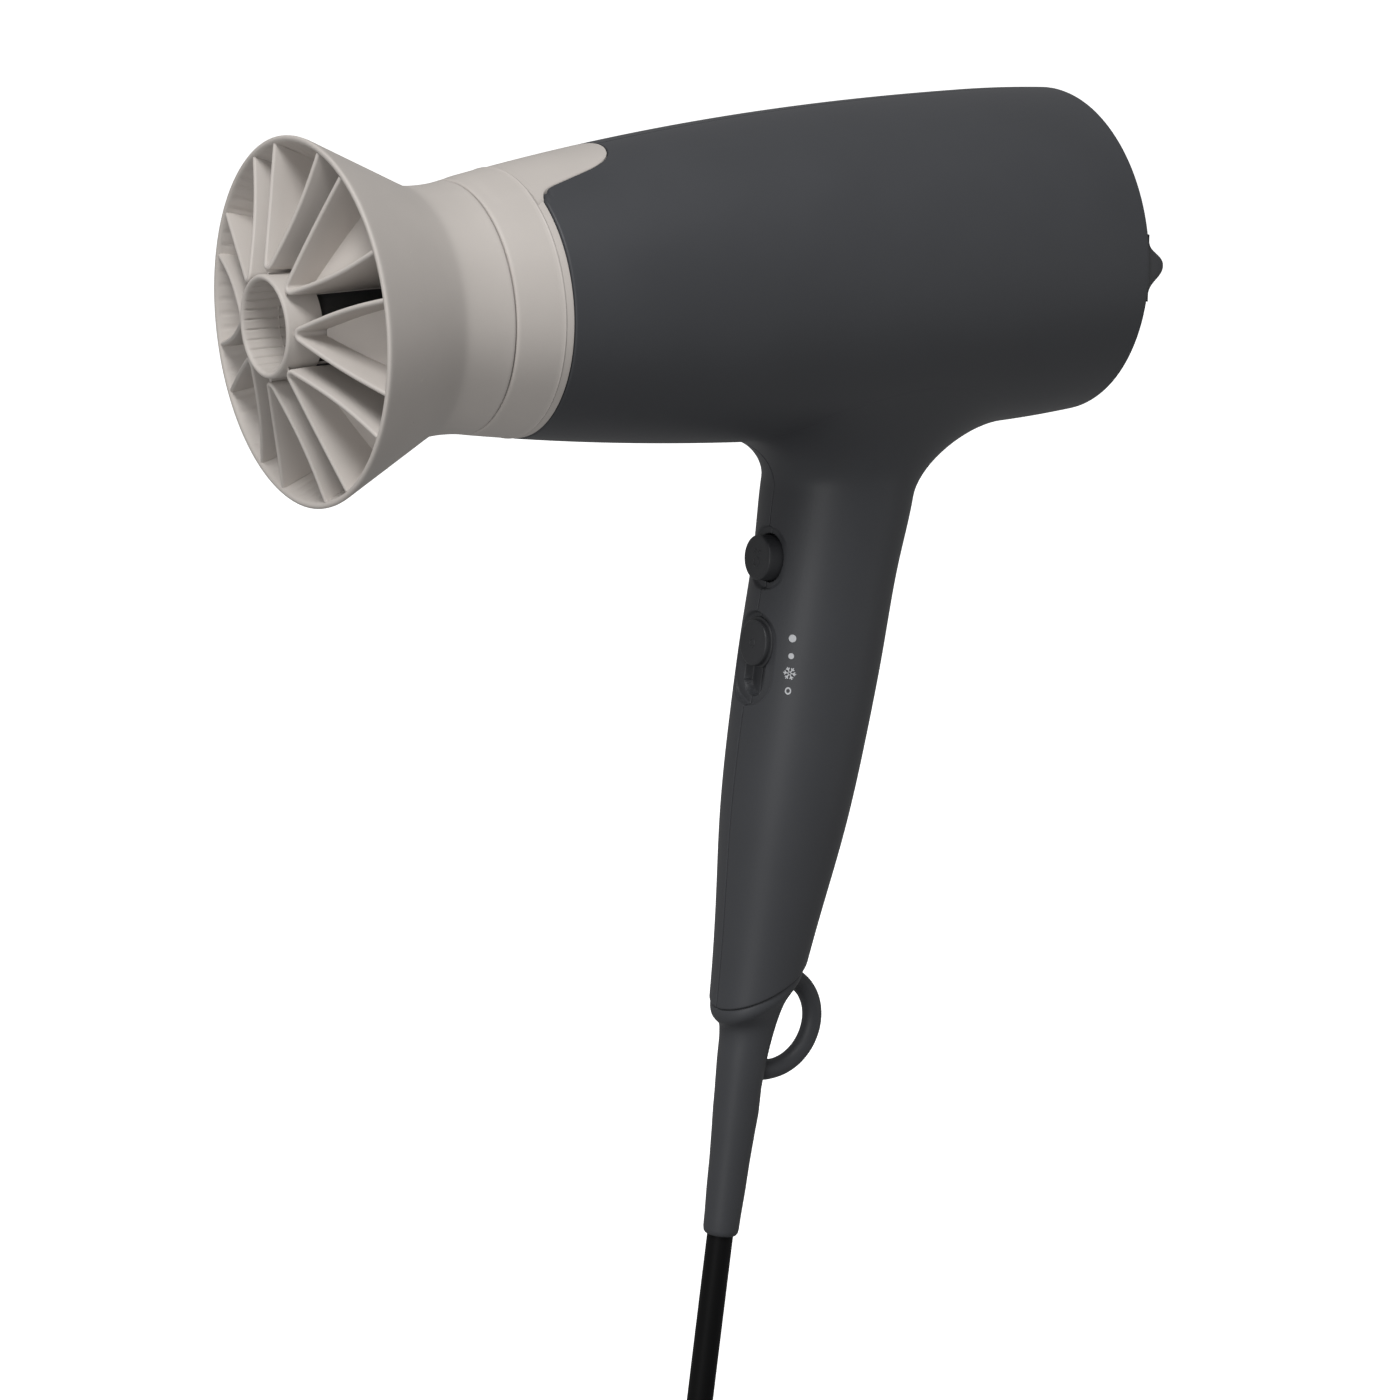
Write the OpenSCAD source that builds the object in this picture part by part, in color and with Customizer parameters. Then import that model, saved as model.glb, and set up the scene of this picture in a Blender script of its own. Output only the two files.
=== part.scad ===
// Hair dryer with a flared vaned nozzle, in millimetres.
// +Z is up, the barrel runs along X with the nozzle towards -X, and the model is symmetric about Y = 0.
// The origin is the middle of the grip, where a hand holds it.

/* [Barrel] */
// Radius of the barrel at its widest
barrel_r = 45; // [44:0.5:46]
// Wall thickness of the mouldings
wall = 2.2; // [2:0.1:2.4]
// Height of the barrel axis above the middle of the grip
grip_drop = 120; // [118:1:122]

/* [Nozzle] */
// Radius of the nozzle rim
rim_r = 46; // [45:0.5:47]
// Number of vane pairs
vane_pairs = 8; // [6:1:9]
// Thickness of a vane
vane_t = 1.3; // [1.1:0.1:1.5]
// Angle between a pair's middle and each tip
vane_spread = 14.7; // [12:0.1:15]

/* [Controls] */
// Travel of the cool shot button
button_travel = 2; // [1:0.5:2.5]
// Travel of the slide switch over its four positions
switch_travel = 8.5; // [7:0.5:8.5]
// Backwards lean of the front of the handle, in degrees
front_lean = 8; // [7:0.5:9]

/* [Cord] */
// Diameter of the mains cord
cord_d = 7.4; // [7:0.1:7.5]

/* [Hidden] */
$fn = 72;
grip_x = 25;            // barrel X of the middle of the grip
gap = 0.3;              // clearance between fixed pieces
fit = 0.06;             // radial clearance of a running or sliding fit

// Stations along the barrel axis
rim_x = -124.8;
hub_front_x = -134.4;
nozzle_back_x = -81.4;
collar_x = -81;
collar_back_x = -66;
tongue_x = -39;
tongue_w = 16.5;
rear_x = 107;
flare_r = 13;           // how far the barrel closes in from its widest to the seam
widest_x = 80;
neck_r = 31.3;
hub_r = 12.7;

// The grip is turned about an axis that leans; its radius at each distance down that axis
grip_top = [36.6, 0, -60];
grip_lean = 10.8;
GRIP = [[-30, 34], [-18, 29.5], [-14, 25.6], [-11, 23.6], [-6.5, 21.8], [0, 20.6], [16, 19.7], [40, 19.4],
    [61, 18.9], [92, 17.1], [113, 14.7], [136, 12.4], [150, 11.4]];
seam_z = -198.5;        // height of the handle's bottom seam at its front
seam_slope = 23;        // tilt of that seam, rising to the rear, in degrees
cord_lean = 8.2;        // lean of the strain relief and the cord
relief_x = 7.4;         // a point on the axis of the strain relief
relief_z = -210;
relief_end = 55;        // length of the relief below that point

function rear_round(x) = x > widest_x ? ((x - widest_x) / 27) ^ 2 : 0;
function front_close(x) = x < widest_x ? flare_r * ((widest_x - x) / 161) ^ 2.2 : 0;
function barrel_at(x) = barrel_r - front_close(x) - rear_round(x);

// Wires: a tube of n sides swept along points, with end caps
function unit(v) = v / norm(v);
function side_of(t) = unit(cross(t, abs(t.y) < 0.8 ? [0, 1, 0] : [1, 0, 0]));
function ring_at(p, t, r, n) =
    let(a = side_of(t), b = cross(t, a))
    [for (i = [0:n - 1]) p + r * (cos(360 * i / n) * a + sin(360 * i / n) * b)];
function tangent(pts, i) =
    unit(pts[min(i + 1, len(pts) - 1)] - pts[max(i - 1, 0)]);

module skin(rings) {
    n = len(rings[0]);
    m = len(rings);
    points = [for (r = rings) each r];
    sides = [for (j = [0:m - 2], i = [0:n - 1])
        let(a = j * n + i, b = j * n + (i + 1) % n)
        each [[a, b + n, b], [a, a + n, b + n]]];
    polyhedron(points, concat(sides, [[for (i = [0:n - 1]) i]], [[for (i = [n - 1:-1:0]) (m - 1) * n + i]]));
}
module tube_along(pts, r, n = 8) {
    skin([for (i = [0:len(pts) - 1]) ring_at(pts[i], tangent(pts, i), r, n)]);
}

module in_place() { translate([-grip_x, 0, grip_drop]) children(); }
// Lays a profile of [radius, x] points around the barrel axis
module lathe(profile, turn = 360) { rotate([0, 90, 0]) rotate_extrude(angle = turn) polygon(profile); }
module disc(x, r, t) { translate([x, 0, 0]) rotate([0, 90, 0]) cylinder(r = r, h = t); }
module ring(x, r_out, r_in, t) {
    difference() {
        disc(x, r_out, t);
        disc(x - 1, r_in, t + 2);
    }
}
// Spokes from one radius to another, thin in angle, t long in x
module spokes(x, r0, r1, w, t, count, phase = 0) {
    for (i = [0:count - 1]) rotate([360 * i / count + phase, 0, 0])
        translate([x, -w / 2, r0]) cube([t, w, r1 - r0]);
}

// ---- Handle frame -------------------------------------------------------
module on_grip_axis() { translate(grip_top) rotate([0, grip_lean, 0]) children(); }
module grip_solid(inset, from = 0, turn = 360) {
    last = len(GRIP) - 1;
    on_grip_axis() rotate_extrude(angle = turn) polygon(concat([[0, -GRIP[from][0]]],
        [for (k = [from:last]) [GRIP[k][1] - inset, -GRIP[k][0]]], [[0, -GRIP[last][0]]]));
}
// Puts children on the front line at height z: X up along the handle, Z outwards
module on_front(x, z) { translate([x, 0, z]) rotate([0, front_lean - 90, 0]) children(); }
module below_seam(drop) {
    translate([-1, 0, seam_z - drop]) rotate([0, -seam_slope, 0]) translate([-60, -60, -80]) cube([160, 120, 80]);
}
button_x = 14.9;
button_z = -75.6;
button_r = 6.1;
seat_r = 8.4;
cap_x = 11.5;
cap_z = -98.5;
cap_r = 6.2;
slot_r = 4.4;
slot_top = 6;
slot_bottom = 14.3;

module slot_shape(r, up, down) {
    hull() {
        translate([up - r, 0, 0]) circle(r, $fn = 32);
        translate([r - down, 0, 0]) circle(r, $fn = 32);
    }
}
// The seats and holes of the two controls
module control_cuts() {
    on_front(button_x, button_z) {
        // Turned as one profile: the wide seat above the narrower bore
        rotate([0, 0, 100]) rotate_extrude() polygon([[0, -9], [button_r + fit + 0.1, -9],
            [button_r + fit + 0.1, 0], [seat_r, 0], [seat_r, 9], [0, 9]]);
    }
    on_front(cap_x, cap_z) {
        linear_extrude(9) slot_shape(seat_r, seat_r, seat_r + switch_travel);
        translate([0, 0, -9]) linear_extrude(12) slot_shape(slot_r, slot_top, slot_bottom);
    }
}

// ---- Housing ------------------------------------------------------------
tongue_plan = [[collar_back_x - 2, -tongue_w], [collar_back_x + 4, -tongue_w], [-46, -13], [-41, -9],
    [tongue_x, -3], [tongue_x, 3], [-41, 9], [-46, 13], [collar_back_x + 4, tongue_w],
    [collar_back_x - 2, tongue_w]];
module tongue_block(grow) {
    linear_extrude(60) offset(delta = grow) polygon(tongue_plan);
}
module barrel_shell(turn) {
    front = collar_back_x + 0.2;
    steps = 12;
    along = [for (i = [0:steps]) front + (rear_x - 3 - front) * i / steps];
    outer = [for (x = along) [barrel_at(x), x]];
    inner = [for (i = [steps:-1:0]) [barrel_at(along[i]) - wall, along[i]]];
    lip = [[barrel_at(rear_x) - 0.8, rear_x - 0.8], [barrel_at(rear_x) - wall + 0.2, rear_x]];
    lathe(concat(outer, lip, inner), turn);
}
// The left half, with its parting face at Y = 0; the right half is its mirror image
module housing_half() {
    color([0.22, 0.225, 0.235]) in_place() translate([0, 0.03, 0]) difference() {
        union() {
            barrel_shell(180);
            difference() {
                grip_solid(0, 0, 180);
                grip_solid(wall, 1);
                below_seam(0);
                lathe([[0, -90], [barrel_at(-66) - 1, -66], [barrel_at(-30) - 1, -30], [barrel_r - 2.5, 20],
                    [barrel_r - 1, 60], [barrel_r - 1, 104], [0, 104]]);
            }
        }
        // Cable way from the handle up into the barrel
        translate([34, 0, -50]) cylinder(r = 14, h = 20);
        tongue_block(0.2);
        control_cuts();
    }
}
module housing_left() { housing_half(); }
module housing_right() { mirror([0, 1, 0]) housing_half(); }

// ---- Nozzle -------------------------------------------------------------
nozzle_wall = 1.8;
nozzle_outer = [[neck_r + 0.6, nozzle_back_x], [neck_r, -86], [neck_r + 0.3, -91], [neck_r + 1.8, -98],
    [rim_r - 1.6, rim_x + 3.6], [rim_r, rim_x + 0.9], [rim_r - 0.2, rim_x]];
module nozzle_shell() {
    inner = [for (i = [len(nozzle_outer) - 2:-1:0]) nozzle_outer[i] - [nozzle_wall, 0]];
    color([0.72, 0.69, 0.66]) in_place() lathe(concat(nozzle_outer, [[rim_r - 1.2, rim_x]], inner));
}
vane_back_x = -100;
vane_flare = tan(25.6);
module vane(turn, lean) {
    inner_r = rim_r - nozzle_wall - 0.35;
    rotate([turn, 0, 0]) translate([0, 0, hub_r - 0.8]) rotate([lean, 0, 0]) rotate([90, 0, 0])
        linear_extrude(vane_t, center = true) polygon([[hub_front_x + 0.4, 0], [rim_x + 1, inner_r - hub_r - 0.9],
            [vane_back_x, inner_r - hub_r - 0.9 - (vane_back_x - rim_x) * vane_flare * 0.98], [vane_back_x, 0]]);
}
module nozzle_vanes() {
    tip = rim_r - nozzle_wall;
    lean = atan2(tip * sin(vane_spread), tip * cos(vane_spread) - hub_r);
    color([0.74, 0.71, 0.68]) in_place() difference() {
        union() {
            disc(hub_front_x, hub_r, vane_back_x - hub_front_x + 6);
            for (i = [0:vane_pairs - 1], s = [-1, 1]) vane(360 * i / vane_pairs, s * lean);
        }
        disc(hub_front_x - 1, hub_r - 1.3, 29);
        for (i = [0:27]) rotate([360 * i / 28, 0, 0])
            translate([hub_front_x + 1, -0.25, hub_r - 1.6]) cube([26, 0.5, 0.6]);
    }
}
module nozzle_hub_plug() {
    color([0.7, 0.67, 0.64]) in_place() disc(hub_front_x + 24, hub_r - 1.6, 3);
}
clip_r = neck_r - nozzle_wall;
// The ring that snaps into the collar; the nozzle turns on it
module nozzle_clip_ring() {
    color([0.3, 0.3, 0.31]) in_place() difference() {
        lathe([[clip_r - 0.1, -92], [clip_r - 0.1, -81.5], [clip_r + 0.1, -81.1], [clip_r + 0.1, -72],
            [clip_r - 2, -70], [clip_r - 2, -92]]);
        for (a = [0:90:270]) rotate([a + 45, 0, 0]) translate([-80, -1.5, 20]) cube([12, 3, 20]);
    }
}

// ---- Collar and outlet --------------------------------------------------
module outlet_collar() {
    color([0.72, 0.69, 0.66]) in_place() difference() {
        union() {
            lathe([[barrel_at(collar_x), collar_x], [barrel_at(-74), -74], [barrel_at(collar_back_x - 0.2), -66.2],
                [barrel_at(-66) - wall - 0.5, -66.2], [barrel_at(-60) - wall - 0.8, -58], [barrel_at(-60) - 4.6, -58],
                [clip_r + 0.4, -66.2], [clip_r + 0.4, collar_x]]);
            intersection() {
                tongue_block(0);
                lathe([[barrel_at(-70), -70], [barrel_at(-60), -60], [barrel_at(-50), -50], [barrel_at(-39), -39],
                    [barrel_at(-39) - wall + 0.2, -39], [barrel_at(-50) - wall + 0.2, -50],
                    [barrel_at(-60) - wall + 0.2, -60], [barrel_at(-70) - wall, -70]]);
            }
        }
        disc(-71, clip_r + 0.4, 3);
    }
}
module outlet_grille() {
    color([0.45, 0.44, 0.43]) in_place() {
        ring(-57, 30.4, 28.6, 2.5);
        ring(-57, 20.6, 19.2, 2);
        ring(-57, 10.6, 9.2, 2);
        disc(-57, 4, 2);
        spokes(-57, 3.5, 29, 1.4, 2, 6, 30);
    }
}

// ---- Air path inside the barrel -----------------------------------------
module heat_shield() {
    color([0.85, 0.8, 0.68]) in_place() ring(-54, 31, 30.4, 78);
}
module heater_frame() {
    color([0.83, 0.77, 0.62]) in_place()
        for (a = [0, 90]) rotate([a, 0, 0]) translate([-50, -0.5, -30.2]) cube([70, 1, 60.4]);
}
module winding(x0, x1, r, turns, wire) {
    steps = turns * 12;
    tube_along([for (i = [0:steps]) let(a = 30 * i, x = x0 + (x1 - x0) * i / steps) [x, r * cos(a), r * sin(a)]],
        wire, 5);
}
module heating_coil_main() { color([0.55, 0.5, 0.45]) in_place() winding(-42, 12, 28.9, 9, 0.5); }
module heating_coil_booster() { color([0.5, 0.46, 0.42]) in_place() winding(-39, 15, 28.9, 9, 0.5); }
module thermostat() {
    color([0.75, 0.75, 0.74]) in_place() translate([-24, 0.6, 8]) {
        cube([18, 2.2, 7]);
        translate([3, 2.2, 2]) cube([12, 1, 3]);
    }
}
module thermal_fuse() {
    color([0.8, 0.78, 0.6]) in_place() translate([-24, -3.4, -14]) rotate([0, 90, 0]) cylinder(r = 2, h = 12);
}
module fan_duct() {
    color([0.16, 0.16, 0.17]) in_place() {
        difference() {
            lathe([[41.6, 30], [42, 60], [42, 92], [40, 92], [40, 60], [39.2, 50], [31, 26], [33, 24.5]]);
        }
        ring(36, 17.5, 15.6, 30);
        spokes(46, 16.5, 40.2, 1.6, 16, 7);
        ring(65.4, 16, 6, 1.6);
    }
}
module motor_damper() { color([0.1, 0.1, 0.1]) in_place() ring(38, 15.4, 14.1, 22); }
module motor_can() {
    color([0.62, 0.63, 0.65]) in_place() difference() {
        disc(30, 14, 34);
        disc(63, 4.1, 2);
        disc(29, 12.8, 3);
    }
}
module motor_end_cap() {
    color([0.12, 0.12, 0.12]) in_place() disc(26.5, 12.6, 5.3);
}
module motor_capacitor() {
    color([0.2, 0.35, 0.6]) in_place() translate([22, -3, -6]) cube([4.3, 6, 4]);
}
module motor_shaft() { color([0.8, 0.8, 0.82]) in_place() disc(64.2, 1.2, 24); }
fan_r = 39.4;
module fan() {
    color([0.2, 0.2, 0.22]) in_place() difference() {
        union() {
            disc(69, 15.5, 18);
            for (i = [0:8]) rotate([40 * i, 0, 0]) translate([78, 0, 15]) rotate([0, 0, 42])
                translate([-9, -0.7, 0]) intersection() {
                    cube([18, 1.4, 25]);
                    translate([9, 0.7, -15]) rotate([0, 0, -42]) rotate([0, 90, 0])
                        cylinder(r = fan_r, h = 40, center = true);
                }
        }
        disc(68, 1.2 + 0.02, 22);
        disc(68, 13.8, 13);
    }
}
module inlet_filter() {
    color([0.35, 0.35, 0.36]) in_place() {
        ring(93, 41, 38, 1.2);
        ring(93.2, 16, 14.6, 0.8);
        spokes(93.2, 15, 38.5, 1, 0.8, 12);
        for (r = [20:4:36]) ring(93.2, r + 0.35, r - 0.35, 0.8);
        disc(93.2, 4, 0.8);
        spokes(93.2, 3.5, 15, 1, 0.8, 6);
    }
}
// The rear cap: a rim, a grille of rings and a grip bar to pull it off by
module rear_grille() {
    cap_out = barrel_at(rear_x) - wall - 1;
    color([0.2, 0.205, 0.215]) in_place() {
        ring(96, cap_out, cap_out - 2, 12);
        for (r = [34:-5:9]) ring(104.5, r + 1, r - 1, 2.5);
        disc(104.5, 5.5, 2.5);
        spokes(104.5, 5, cap_out - 1, 1.6, 2.5, 12, 15);
        intersection() {
            disc(104, cap_out, 10);
            translate([104.3, -cap_out, -7]) cube([9.2, 2 * cap_out, 14]);
        }
    }
}

// ---- Controls -----------------------------------------------------------
module cool_shot_button() {
    color([0.17, 0.175, 0.18]) in_place() on_front(button_x, button_z) {
        cylinder(r1 = button_r, r2 = button_r - 0.1, h = 4.1);
        translate([0, 0, -5]) cylinder(r = button_r - 0.1, h = 5);
        translate([0, 0, -5.8]) cylinder(r = button_r + 1, h = 1.2);
    }
}
// Room for the return spring under the button: its travel and the closed coils
spring_rise = button_travel + 3.8;
module cool_shot_spring() {
    color("silver") in_place() on_front(button_x, button_z) translate([0, 0, -6 - spring_rise])
        tube_along([for (i = [0:60]) [3 * cos(30 * i), 3 * sin(30 * i), 0.4 + (spring_rise - 0.8) * i / 60]],
            0.3, 5);
}
module cool_shot_switch() {
    color([0.1, 0.1, 0.11]) in_place() on_front(button_x, button_z)
        translate([-6, -3.5, -20]) cube([12, 7, 13.6 - spring_rise]);
}
module slide_switch() {
    color([0.17, 0.175, 0.18]) in_place() on_front(cap_x, cap_z) {
        translate([0, 0, 0.3]) cylinder(r1 = cap_r + 0.1, r2 = cap_r, h = 1.7);
        translate([0, 0, -5]) linear_extrude(5.5) slot_shape(slot_r - 0.3, slot_top - 0.3, slot_top - 0.3);
    }
}
module switch_block() {
    color([0.1, 0.1, 0.11]) in_place() on_front(cap_x, cap_z) translate([-18, -6, -16]) cube([27, 12, 10.6]);
}
module circuit_board() {
    color([0.1, 0.35, 0.2]) in_place() on_front(cap_x, cap_z) translate([-26, -8, -18]) cube([40, 16, 1.6]);
}
// Printed marks beside the slide switch, from high down to off
mark_r = [1.15, 0.9, 1.7, 1.15];
module position_marks() {
    color([0.8, 0.81, 0.82]) in_place() intersection() {
        difference() {
            grip_solid(-0.1);
            grip_solid(-0.035);
        }
        for (k = [0:3]) translate([14.6 - 0.85 * k, -13, -95.3 - 4.7 * k]) rotate([90, 0, -40]) difference() {
            cylinder(r = mark_r[k], h = 12, center = true, $fn = 24);
            if (k == 3) cylinder(r = 0.65, h = 13, center = true, $fn = 24);
        }
    }
}

// ---- Handle end and cord ------------------------------------------------
module on_cord_axis() { translate([relief_x, 0, relief_z]) rotate([0, cord_lean, 0]) children(); }
module handle_end_cap() {
    color([0.16, 0.165, 0.17]) in_place() {
        difference() {
            union() {
                intersection() {
                    grip_solid(0);
                    difference() {
                        below_seam(gap);
                        below_seam(4);
                    }
                }
                on_cord_axis() translate([0, 0, -relief_end]) rotate_extrude() polygon([[0, 0], [4.6, 0], [5, 1],
                    [7.1, 52], [8.2, 58], [9.6, 62], [9.6, 66], [0, 66]]);
            }
            below_seam_top();
            on_cord_axis() translate([0, 0, -relief_end - 1]) cylinder(r = cord_d / 2 + 0.05, h = 90);
        }
        hanging_loop();
    }
}
module below_seam_top() {
    translate([-1, 0, seam_z - gap]) rotate([0, -seam_slope, 0]) translate([-60, -60, 0]) cube([160, 120, 60]);
}
module hanging_loop() {
    difference() {
        translate([16.3, 0, -206.3]) rotate([90, 0, 0]) rotate_extrude(angle = 182, start = -112)
            translate([13.5, 0, 0]) circle(2.6, $fn = 24);
        below_seam_top();
    }
}
// The end of the cord inside the handle, up to its clamp
module cord_lead_in() {
    color([0.07, 0.07, 0.075]) in_place() on_cord_axis()
        translate([0, 0, -relief_end]) cylinder(r = cord_d / 2, h = relief_end + 32);
}
module cord_clamp() {
    color([0.15, 0.15, 0.16]) in_place() on_cord_axis() translate([0, 0, 24]) difference() {
        cylinder(r = 8.5, h = 5);
        translate([0, 0, -1]) cylinder(r = cord_d / 2 + 0.05, h = 7);
    }
}
module clamp_screws() {
    color([0.6, 0.6, 0.62]) in_place() on_cord_axis() for (y = [-6, 6]) translate([0, y, 29])
        cylinder(r = 1.6, h = 1.6);
}
module lead_wires(y, r) {
    color([0.5, 0.12, 0.1]) in_place()
        tube_along([[11.5, y, -176], [16, y, -160], [24, y, -145], [27, y, -132], [26, y, -126]], r, 6);
}
module live_lead() { lead_wires(-4, 1.1); }
module neutral_lead() { lead_wires(4, 1.1); }

// The cord: down from the strain relief, into a round coil in two layers, and out to the plug
floor_z = -250;
CORD = [[-25.4, 0, -144.4], [-28.3, 0, -165], [-31.1, 0, -185], [-33.3, 0, -201], [-35, 0, -214],
    [-35.8, -1.1, -222.6], [-36.7, -4.3, -230.3], [-37.7, -9.4, -236.9], [-38.7, -16, -242],
    [-39.5, -23.7, -245.2], [-40, -32, -246.3], [-40, -38, -246.3]];
TAIL = [[-37, -38, -238.9], [-37.6, -47, -239], [-39, -56, -240.2], [-40, -65, -242.4], [-39.8, -74, -244.6],
    [-38.4, -84, -245.9], [-34.6, -93.5, -246.2], [-28, -102, -245.6], [-19.5, -108.8, -243.8],
    [-10, -113.2, -240.6], [0, -115, -237.6], [6, -115, -236.5]];
coil_at = [14, -38];    // middle of the coil
coil_in = 30;           // radius of its innermost turn
coil_out = 54;          // radius of its outermost turn
plug_z = floor_z + 13.5;
module power_cord() { color([0.07, 0.07, 0.075]) tube_along(CORD, cord_d / 2, 10); }
module cord_tail() { color([0.07, 0.07, 0.075]) tube_along(TAIL, cord_d / 2, 10); }
module cord_coil() {
    color([0.07, 0.07, 0.075]) translate([coil_at.x, coil_at.y, floor_z]) rotate_extrude()
        translate([coil_in - cord_d / 2, 0]) square([coil_out - coil_in + cord_d, 2 * cord_d]);
}
// Places children on the plug's axis: Z runs from the cord to the pins
module on_plug_axis() { translate([6, -115, plug_z]) rotate([0, 90, 0]) rotate([0, 0, 90]) children(); }
module mains_plug() {
    color([0.08, 0.08, 0.085]) on_plug_axis() union() {
        cylinder(r1 = 5, r2 = 7.5, h = 28);
        translate([0, 0, 27.9]) linear_extrude(36) hull() for (s = [-1, 1]) translate([5 * s, 0]) circle(13.4, $fn = 32);
    }
}
module plug_pins() {
    color("silver") on_plug_axis() for (s = [-1, 1]) translate([9.5 * s, 0, 64]) union() {
        cylinder(r = 2.4, h = 18);
        translate([0, 0, 18]) cylinder(r1 = 2.4, r2 = 1.6, h = 1);
    }
}

housing_left();
housing_right();
nozzle_shell();
nozzle_vanes();
nozzle_hub_plug();
nozzle_clip_ring();
outlet_collar();
outlet_grille();
heat_shield();
heater_frame();
heating_coil_main();
heating_coil_booster();
thermostat();
thermal_fuse();
fan_duct();
motor_damper();
motor_can();
motor_end_cap();
motor_capacitor();
motor_shaft();
fan();
inlet_filter();
rear_grille();
cool_shot_button();
cool_shot_spring();
cool_shot_switch();
slide_switch();
switch_block();
circuit_board();
position_marks();
handle_end_cap();
cord_lead_in();
cord_clamp();
clamp_screws();
live_lead();
neutral_lead();
power_cord();
cord_coil();
cord_tail();
mains_plug();
plug_pins();
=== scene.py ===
"""Looks of the hair dryer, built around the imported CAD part.

Shapes are drawn in the barrel frame: millimetres, with the barrel's axis along X at Y = Z = 0 and the
nozzle towards -X. world() moves a point into the row frame, in metres.
"""

import math

import bmesh
import bpy
import numpy as np
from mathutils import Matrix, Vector

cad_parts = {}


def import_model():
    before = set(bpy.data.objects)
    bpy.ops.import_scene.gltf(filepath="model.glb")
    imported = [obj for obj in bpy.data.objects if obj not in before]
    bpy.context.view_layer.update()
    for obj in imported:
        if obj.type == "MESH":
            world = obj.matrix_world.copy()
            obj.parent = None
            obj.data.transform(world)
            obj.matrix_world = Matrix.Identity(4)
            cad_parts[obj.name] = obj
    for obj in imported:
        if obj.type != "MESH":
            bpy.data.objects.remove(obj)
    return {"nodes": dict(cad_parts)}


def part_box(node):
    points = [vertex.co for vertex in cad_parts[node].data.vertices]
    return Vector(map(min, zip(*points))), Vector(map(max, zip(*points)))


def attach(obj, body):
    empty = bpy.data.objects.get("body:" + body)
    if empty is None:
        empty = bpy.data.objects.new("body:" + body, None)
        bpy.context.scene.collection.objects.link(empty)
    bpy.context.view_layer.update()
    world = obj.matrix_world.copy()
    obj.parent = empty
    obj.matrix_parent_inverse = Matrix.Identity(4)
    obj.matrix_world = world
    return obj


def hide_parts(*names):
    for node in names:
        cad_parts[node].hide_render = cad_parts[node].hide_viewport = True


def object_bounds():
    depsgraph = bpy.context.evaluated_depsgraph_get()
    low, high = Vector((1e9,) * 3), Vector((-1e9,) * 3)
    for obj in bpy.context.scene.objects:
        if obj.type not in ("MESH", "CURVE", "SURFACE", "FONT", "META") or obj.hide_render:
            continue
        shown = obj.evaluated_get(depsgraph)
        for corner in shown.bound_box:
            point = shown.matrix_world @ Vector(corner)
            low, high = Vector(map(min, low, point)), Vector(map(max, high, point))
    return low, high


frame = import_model()
CAD_LO, CAD_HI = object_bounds()


# ---- Driving dimensions, read from the frame ----------------------------
def box_mm(node):
    """Lowest and highest corner of a CAD node, in mm."""
    low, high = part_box(node)
    return np.array(low) * 1000, np.array(high) * 1000


SHELL_LO, SHELL_HI = box_mm("nozzle_shell")
HOUSING_HI = box_mm("housing_left")[1]
VANES_LO = box_mm("nozzle_vanes")[0]
AXIS_Z = (SHELL_LO[2] + SHELL_HI[2]) / 2      # height of the barrel axis in the row frame
REAR_X = 107.0                                # rear rim in the barrel frame
SHIFT_X = REAR_X - HOUSING_HI[0]              # barrel frame X of the row's origin
RIM_R = (SHELL_HI[2] - SHELL_LO[2]) / 2
RIM_X = SHELL_LO[0] + SHIFT_X
HUB_X = VANES_LO[0] + SHIFT_X
CORD_R = 3.7
FLOOR_Z = CAD_LO[2]

BARREL_R = 45.0
NARROWING = 13.0         # radius lost from the widest place to the nozzle's joint
NARROWING_LENGTH = 161.0
NARROWING_POWER = 2.2
REAR_ROUNDING = 27.0     # behind the widest place the radius falls by 1 mm in this length
SEAM_X = -81.2           # joint between the nozzle and the collar
COLLAR_BACK = -66.0      # joint between the collar and the barrel
WIDEST_X = 80.0
WALL = 2.2
HUB_R = 12.8

GRIP_TOP = np.array([36.6, 0.0, -60.0])
GRIP_LEAN = math.radians(10.8)
# radius of the handle at a distance down its axis
GRIP_RADII = [(-8, 20.6), (0, 20.6), (16, 19.7), (40, 19.4), (61, 18.9), (92, 17.1), (113, 14.7),
              (136, 12.4), (150, 11.4)]
SEAM_SLOPE = math.tan(math.radians(23))
SEAM_FRONT_Z = -198.5
FRONT_LEAN = math.radians(8)
BUTTON_AT = np.array([14.9, 0.0, -75.6])
BUTTON_R = 6.1
SEAT_R = 8.4
CAP_AT = np.array([11.5, 0.0, -98.5])
CAP_R = 6.2
SWITCH_TRAVEL = 8.5
SLOT_R = 4.4
SLOT_UP = 6.0
SLOT_DOWN = 14.3


def world(p):
    p = np.asarray(p, float)
    return (p + np.array([-SHIFT_X, 0.0, AXIS_Z])) / 1000.0


# ---- Small mathematics --------------------------------------------------
def smooth_step(x):
    x = np.clip(x, 0.0, 1.0)
    return x * x * (3 - 2 * x)


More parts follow.
